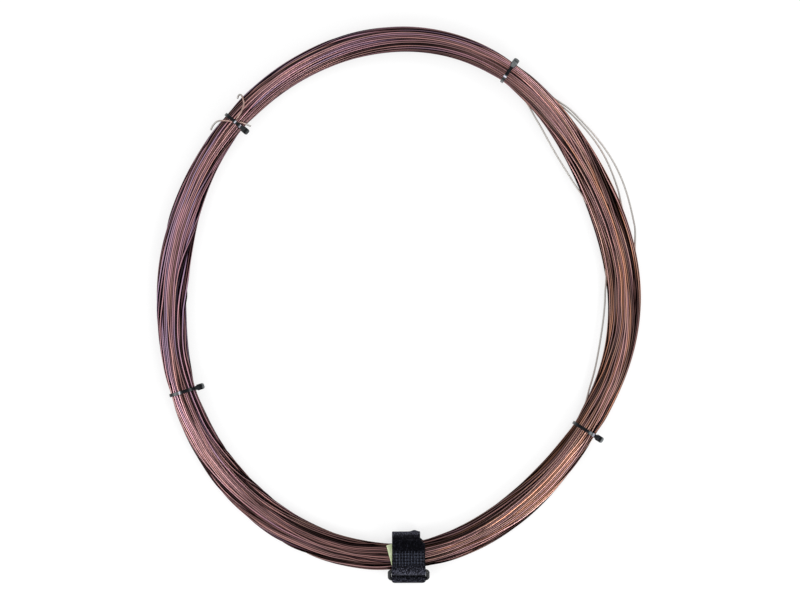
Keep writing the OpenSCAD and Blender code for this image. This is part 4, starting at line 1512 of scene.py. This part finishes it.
class COIL_OT_spring_loose_turns(Operator):
    """Draw the turns that have sprung clear, and the wire's free end"""

    bl_idname = "coil.spring_loose_turns"
    bl_label = "Draw loose turns and wire end"

    def execute(self, context):
        sizes, finish = context.scene.coil_sizes, context.scene.coil_finish
        copper = tarnished_copper("copper_wire_loose", finish, loose=True)
        for piece in (
            draw_wires("sprung_turns", "loose_turns", loose_turn_routes(sizes), sizes, copper),
            draw_wires("free_end", "wire_end", wire_end_routes(sizes), sizes, copper),
        ):
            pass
        return {"FINISHED"}


class COIL_OT_draw_ties(Operator):
    """Draw the four cable ties with their heads and trimmed tails"""

    bl_idname = "coil.draw_ties"
    bl_label = "Draw the cable ties"

    def execute(self, context):
        sizes, ties = context.scene.coil_sizes, context.scene.tie_sizes
        nylon = tie_nylon(context.scene.coil_finish)
        for name, binding, side, past, slope in (
            ("upper_right", UPPER_RIGHT, 1, -0.4 * MM, 34),
            ("upper_left", UPPER_LEFT, -1, 2.8 * MM, 18),
            ("lower_left", LOWER_LEFT, -1, 4.1 * MM, 18),
            ("lower_right", LOWER_RIGHT, 1, 3.3 * MM, 18),
        ):
            draw_tie(name, binding, side, past, slope, TIE_SHEEN_MARKS[binding], sizes, ties, nylon)
        return {"FINISHED"}


class COIL_OT_draw_strap(Operator):
    """Draw the hook-and-loop strap, its pads and its buckle"""

    bl_idname = "coil.draw_strap"
    bl_label = "Draw the strap and buckle"

    def execute(self, context):
        scene = context.scene
        sizes, strap, finish = scene.coil_sizes, scene.strap_sizes, scene.coil_finish
        route = draw_strap(sizes, strap, strap_cloth(finish))
        draw_hook_pad(route, strap, hook_plastic(finish))
        draw_pile(route, strap, sizes.seed, pile_thread(finish))
        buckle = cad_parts["strap_buckle"]
        plastic = buckle_plastic(finish)
        for slot in buckle.material_slots:
            slot.material = plastic
        return {"FINISHED"}


class COIL_OT_draw_slip(Operator):
    """Draw the slip of paper caught under the strap"""

    bl_idname = "coil.draw_slip"
    bl_label = "Draw the paper slip"

    def execute(self, context):
        draw_slip(context.scene.coil_sizes, slip_paper(context.scene.coil_finish))
        return {"FINISHED"}


# Each lamp: its setting, azimuth and elevation in degrees, and size in metres
LAMPS = (("key", -52, 30, 0.6), ("side", 212, 32, 0.6), ("back", 45, 32, 0.45))
LAMP_REACH = 1.3
FLOOR_REACH = 3.0
# The point that the camera looks straight down on, at the height of the bundle's widest place
CAMERA_TARGET = (0.87 * MM, -0.33 * MM, 6.5 * MM)


class COIL_OT_set_stage(Operator):
    """Set the floor, the lamps and the camera"""

    bl_idname = "coil.set_stage"
    bl_label = "Set the stage"

    def execute(self, context):
        stage = context.scene.coil_stage
        self.lay_floor(stage)
        self.light_room(context.scene, stage)
        for name, azimuth, elevation, size in LAMPS:
            self.hang_lamp(f"{name}_lamp", getattr(stage, name), azimuth, elevation, size)
        self.set_camera(context.scene, stage)
        return {"FINISHED"}

    def lay_floor(self, stage):
        mesh = bpy.data.meshes.new("studio_floor")
        sides = ((-1, -1), (1, -1), (1, 1), (-1, 1))
        corners = [(FLOOR_REACH * x, FLOOR_REACH * y, 0) for x, y in sides]
        mesh.from_pydata(corners, [], [(0, 1, 2, 3)])
        mesh.materials.append(floor_white(stage))
        floor = bpy.data.objects.new("studio_floor", mesh)
        bpy.context.scene.collection.objects.link(floor)

    def light_room(self, scene, stage):
        world = bpy.data.worlds.new("studio_room")
        world.use_nodes = True
        background = world.node_tree.nodes["Background"]
        background.inputs["Color"].default_value = (1, 1, 1, 1)
        background.inputs["Strength"].default_value = stage.room
        scene.world = world

    def hang_lamp(self, name, power, azimuth, elevation, size):
        lamp = bpy.data.lights.new(name, "AREA")
        lamp.energy, lamp.size, lamp.shape = power, size, "SQUARE"
        holder = bpy.data.objects.new(name, lamp)
        rise = math.radians(elevation)
        toward = Vector((*turned(math.cos(rise), azimuth), math.sin(rise)))
        holder.location = LAMP_REACH * toward
        holder.rotation_euler = toward.to_track_quat("Z", "Y").to_euler()
        bpy.context.scene.collection.objects.link(holder)

    def set_camera(self, scene, stage):
        """Straight above the coil, at the height of the bundle's widest place."""
        lens = bpy.data.cameras.new("camera")
        lens.sensor_width = 36
        lens.lens = lens.sensor_width * stage.camera_height / stage.view_width
        camera = bpy.data.objects.new("camera", lens)
        x, y, height = CAMERA_TARGET
        camera.location = (x, y, stage.camera_height + height)
        scene.collection.objects.link(camera)
        scene.camera = camera
        scene.view_settings.view_transform = "Standard"


class COIL_PT_panel(Panel):
    """Sizes, finishes and steps of the wire coil"""

    bl_idname = "COIL_PT_panel"
    bl_label = "Wire coil"
    bl_space_type = "VIEW_3D"
    bl_region_type = "UI"
    bl_category = "Wire coil"

    def draw(self, context):
        for group in ("coil_sizes", "tie_sizes", "strap_sizes", "coil_finish", "coil_stage"):
            settings = getattr(context.scene, group)
            box = self.layout.box()
            for name in settings.__annotations__:
                box.prop(settings, name)
        for step in STEPS:
            self.layout.operator(step.bl_idname)


GROUPS = {
    "coil_sizes": CoilSizes,
    "tie_sizes": TieSizes,
    "strap_sizes": StrapSizes,
    "coil_finish": CoilFinish,
    "coil_stage": CoilStage,
}
STEPS = (
    COIL_OT_set_stage,
    COIL_OT_lay_turns,
    COIL_OT_spring_loose_turns,
    COIL_OT_draw_ties,
    COIL_OT_draw_strap,
    COIL_OT_draw_slip,
)
CLASSES = (*GROUPS.values(), *STEPS, COIL_PT_panel)


def register():
    for kind in CLASSES:
        bpy.utils.register_class(kind)
    for name, kind in GROUPS.items():
        setattr(bpy.types.Scene, name, PointerProperty(type=kind))


def unregister():
    for name in GROUPS:
        delattr(bpy.types.Scene, name)
    for kind in reversed(CLASSES):
        bpy.utils.unregister_class(kind)


def main():
    register()
    bpy.ops.coil.set_stage()
    bpy.ops.coil.lay_turns()
    bpy.ops.coil.spring_loose_turns()
    bpy.ops.coil.draw_ties()
    bpy.ops.coil.draw_strap()
    bpy.ops.coil.draw_slip()


if __name__ == "__main__":
    main()
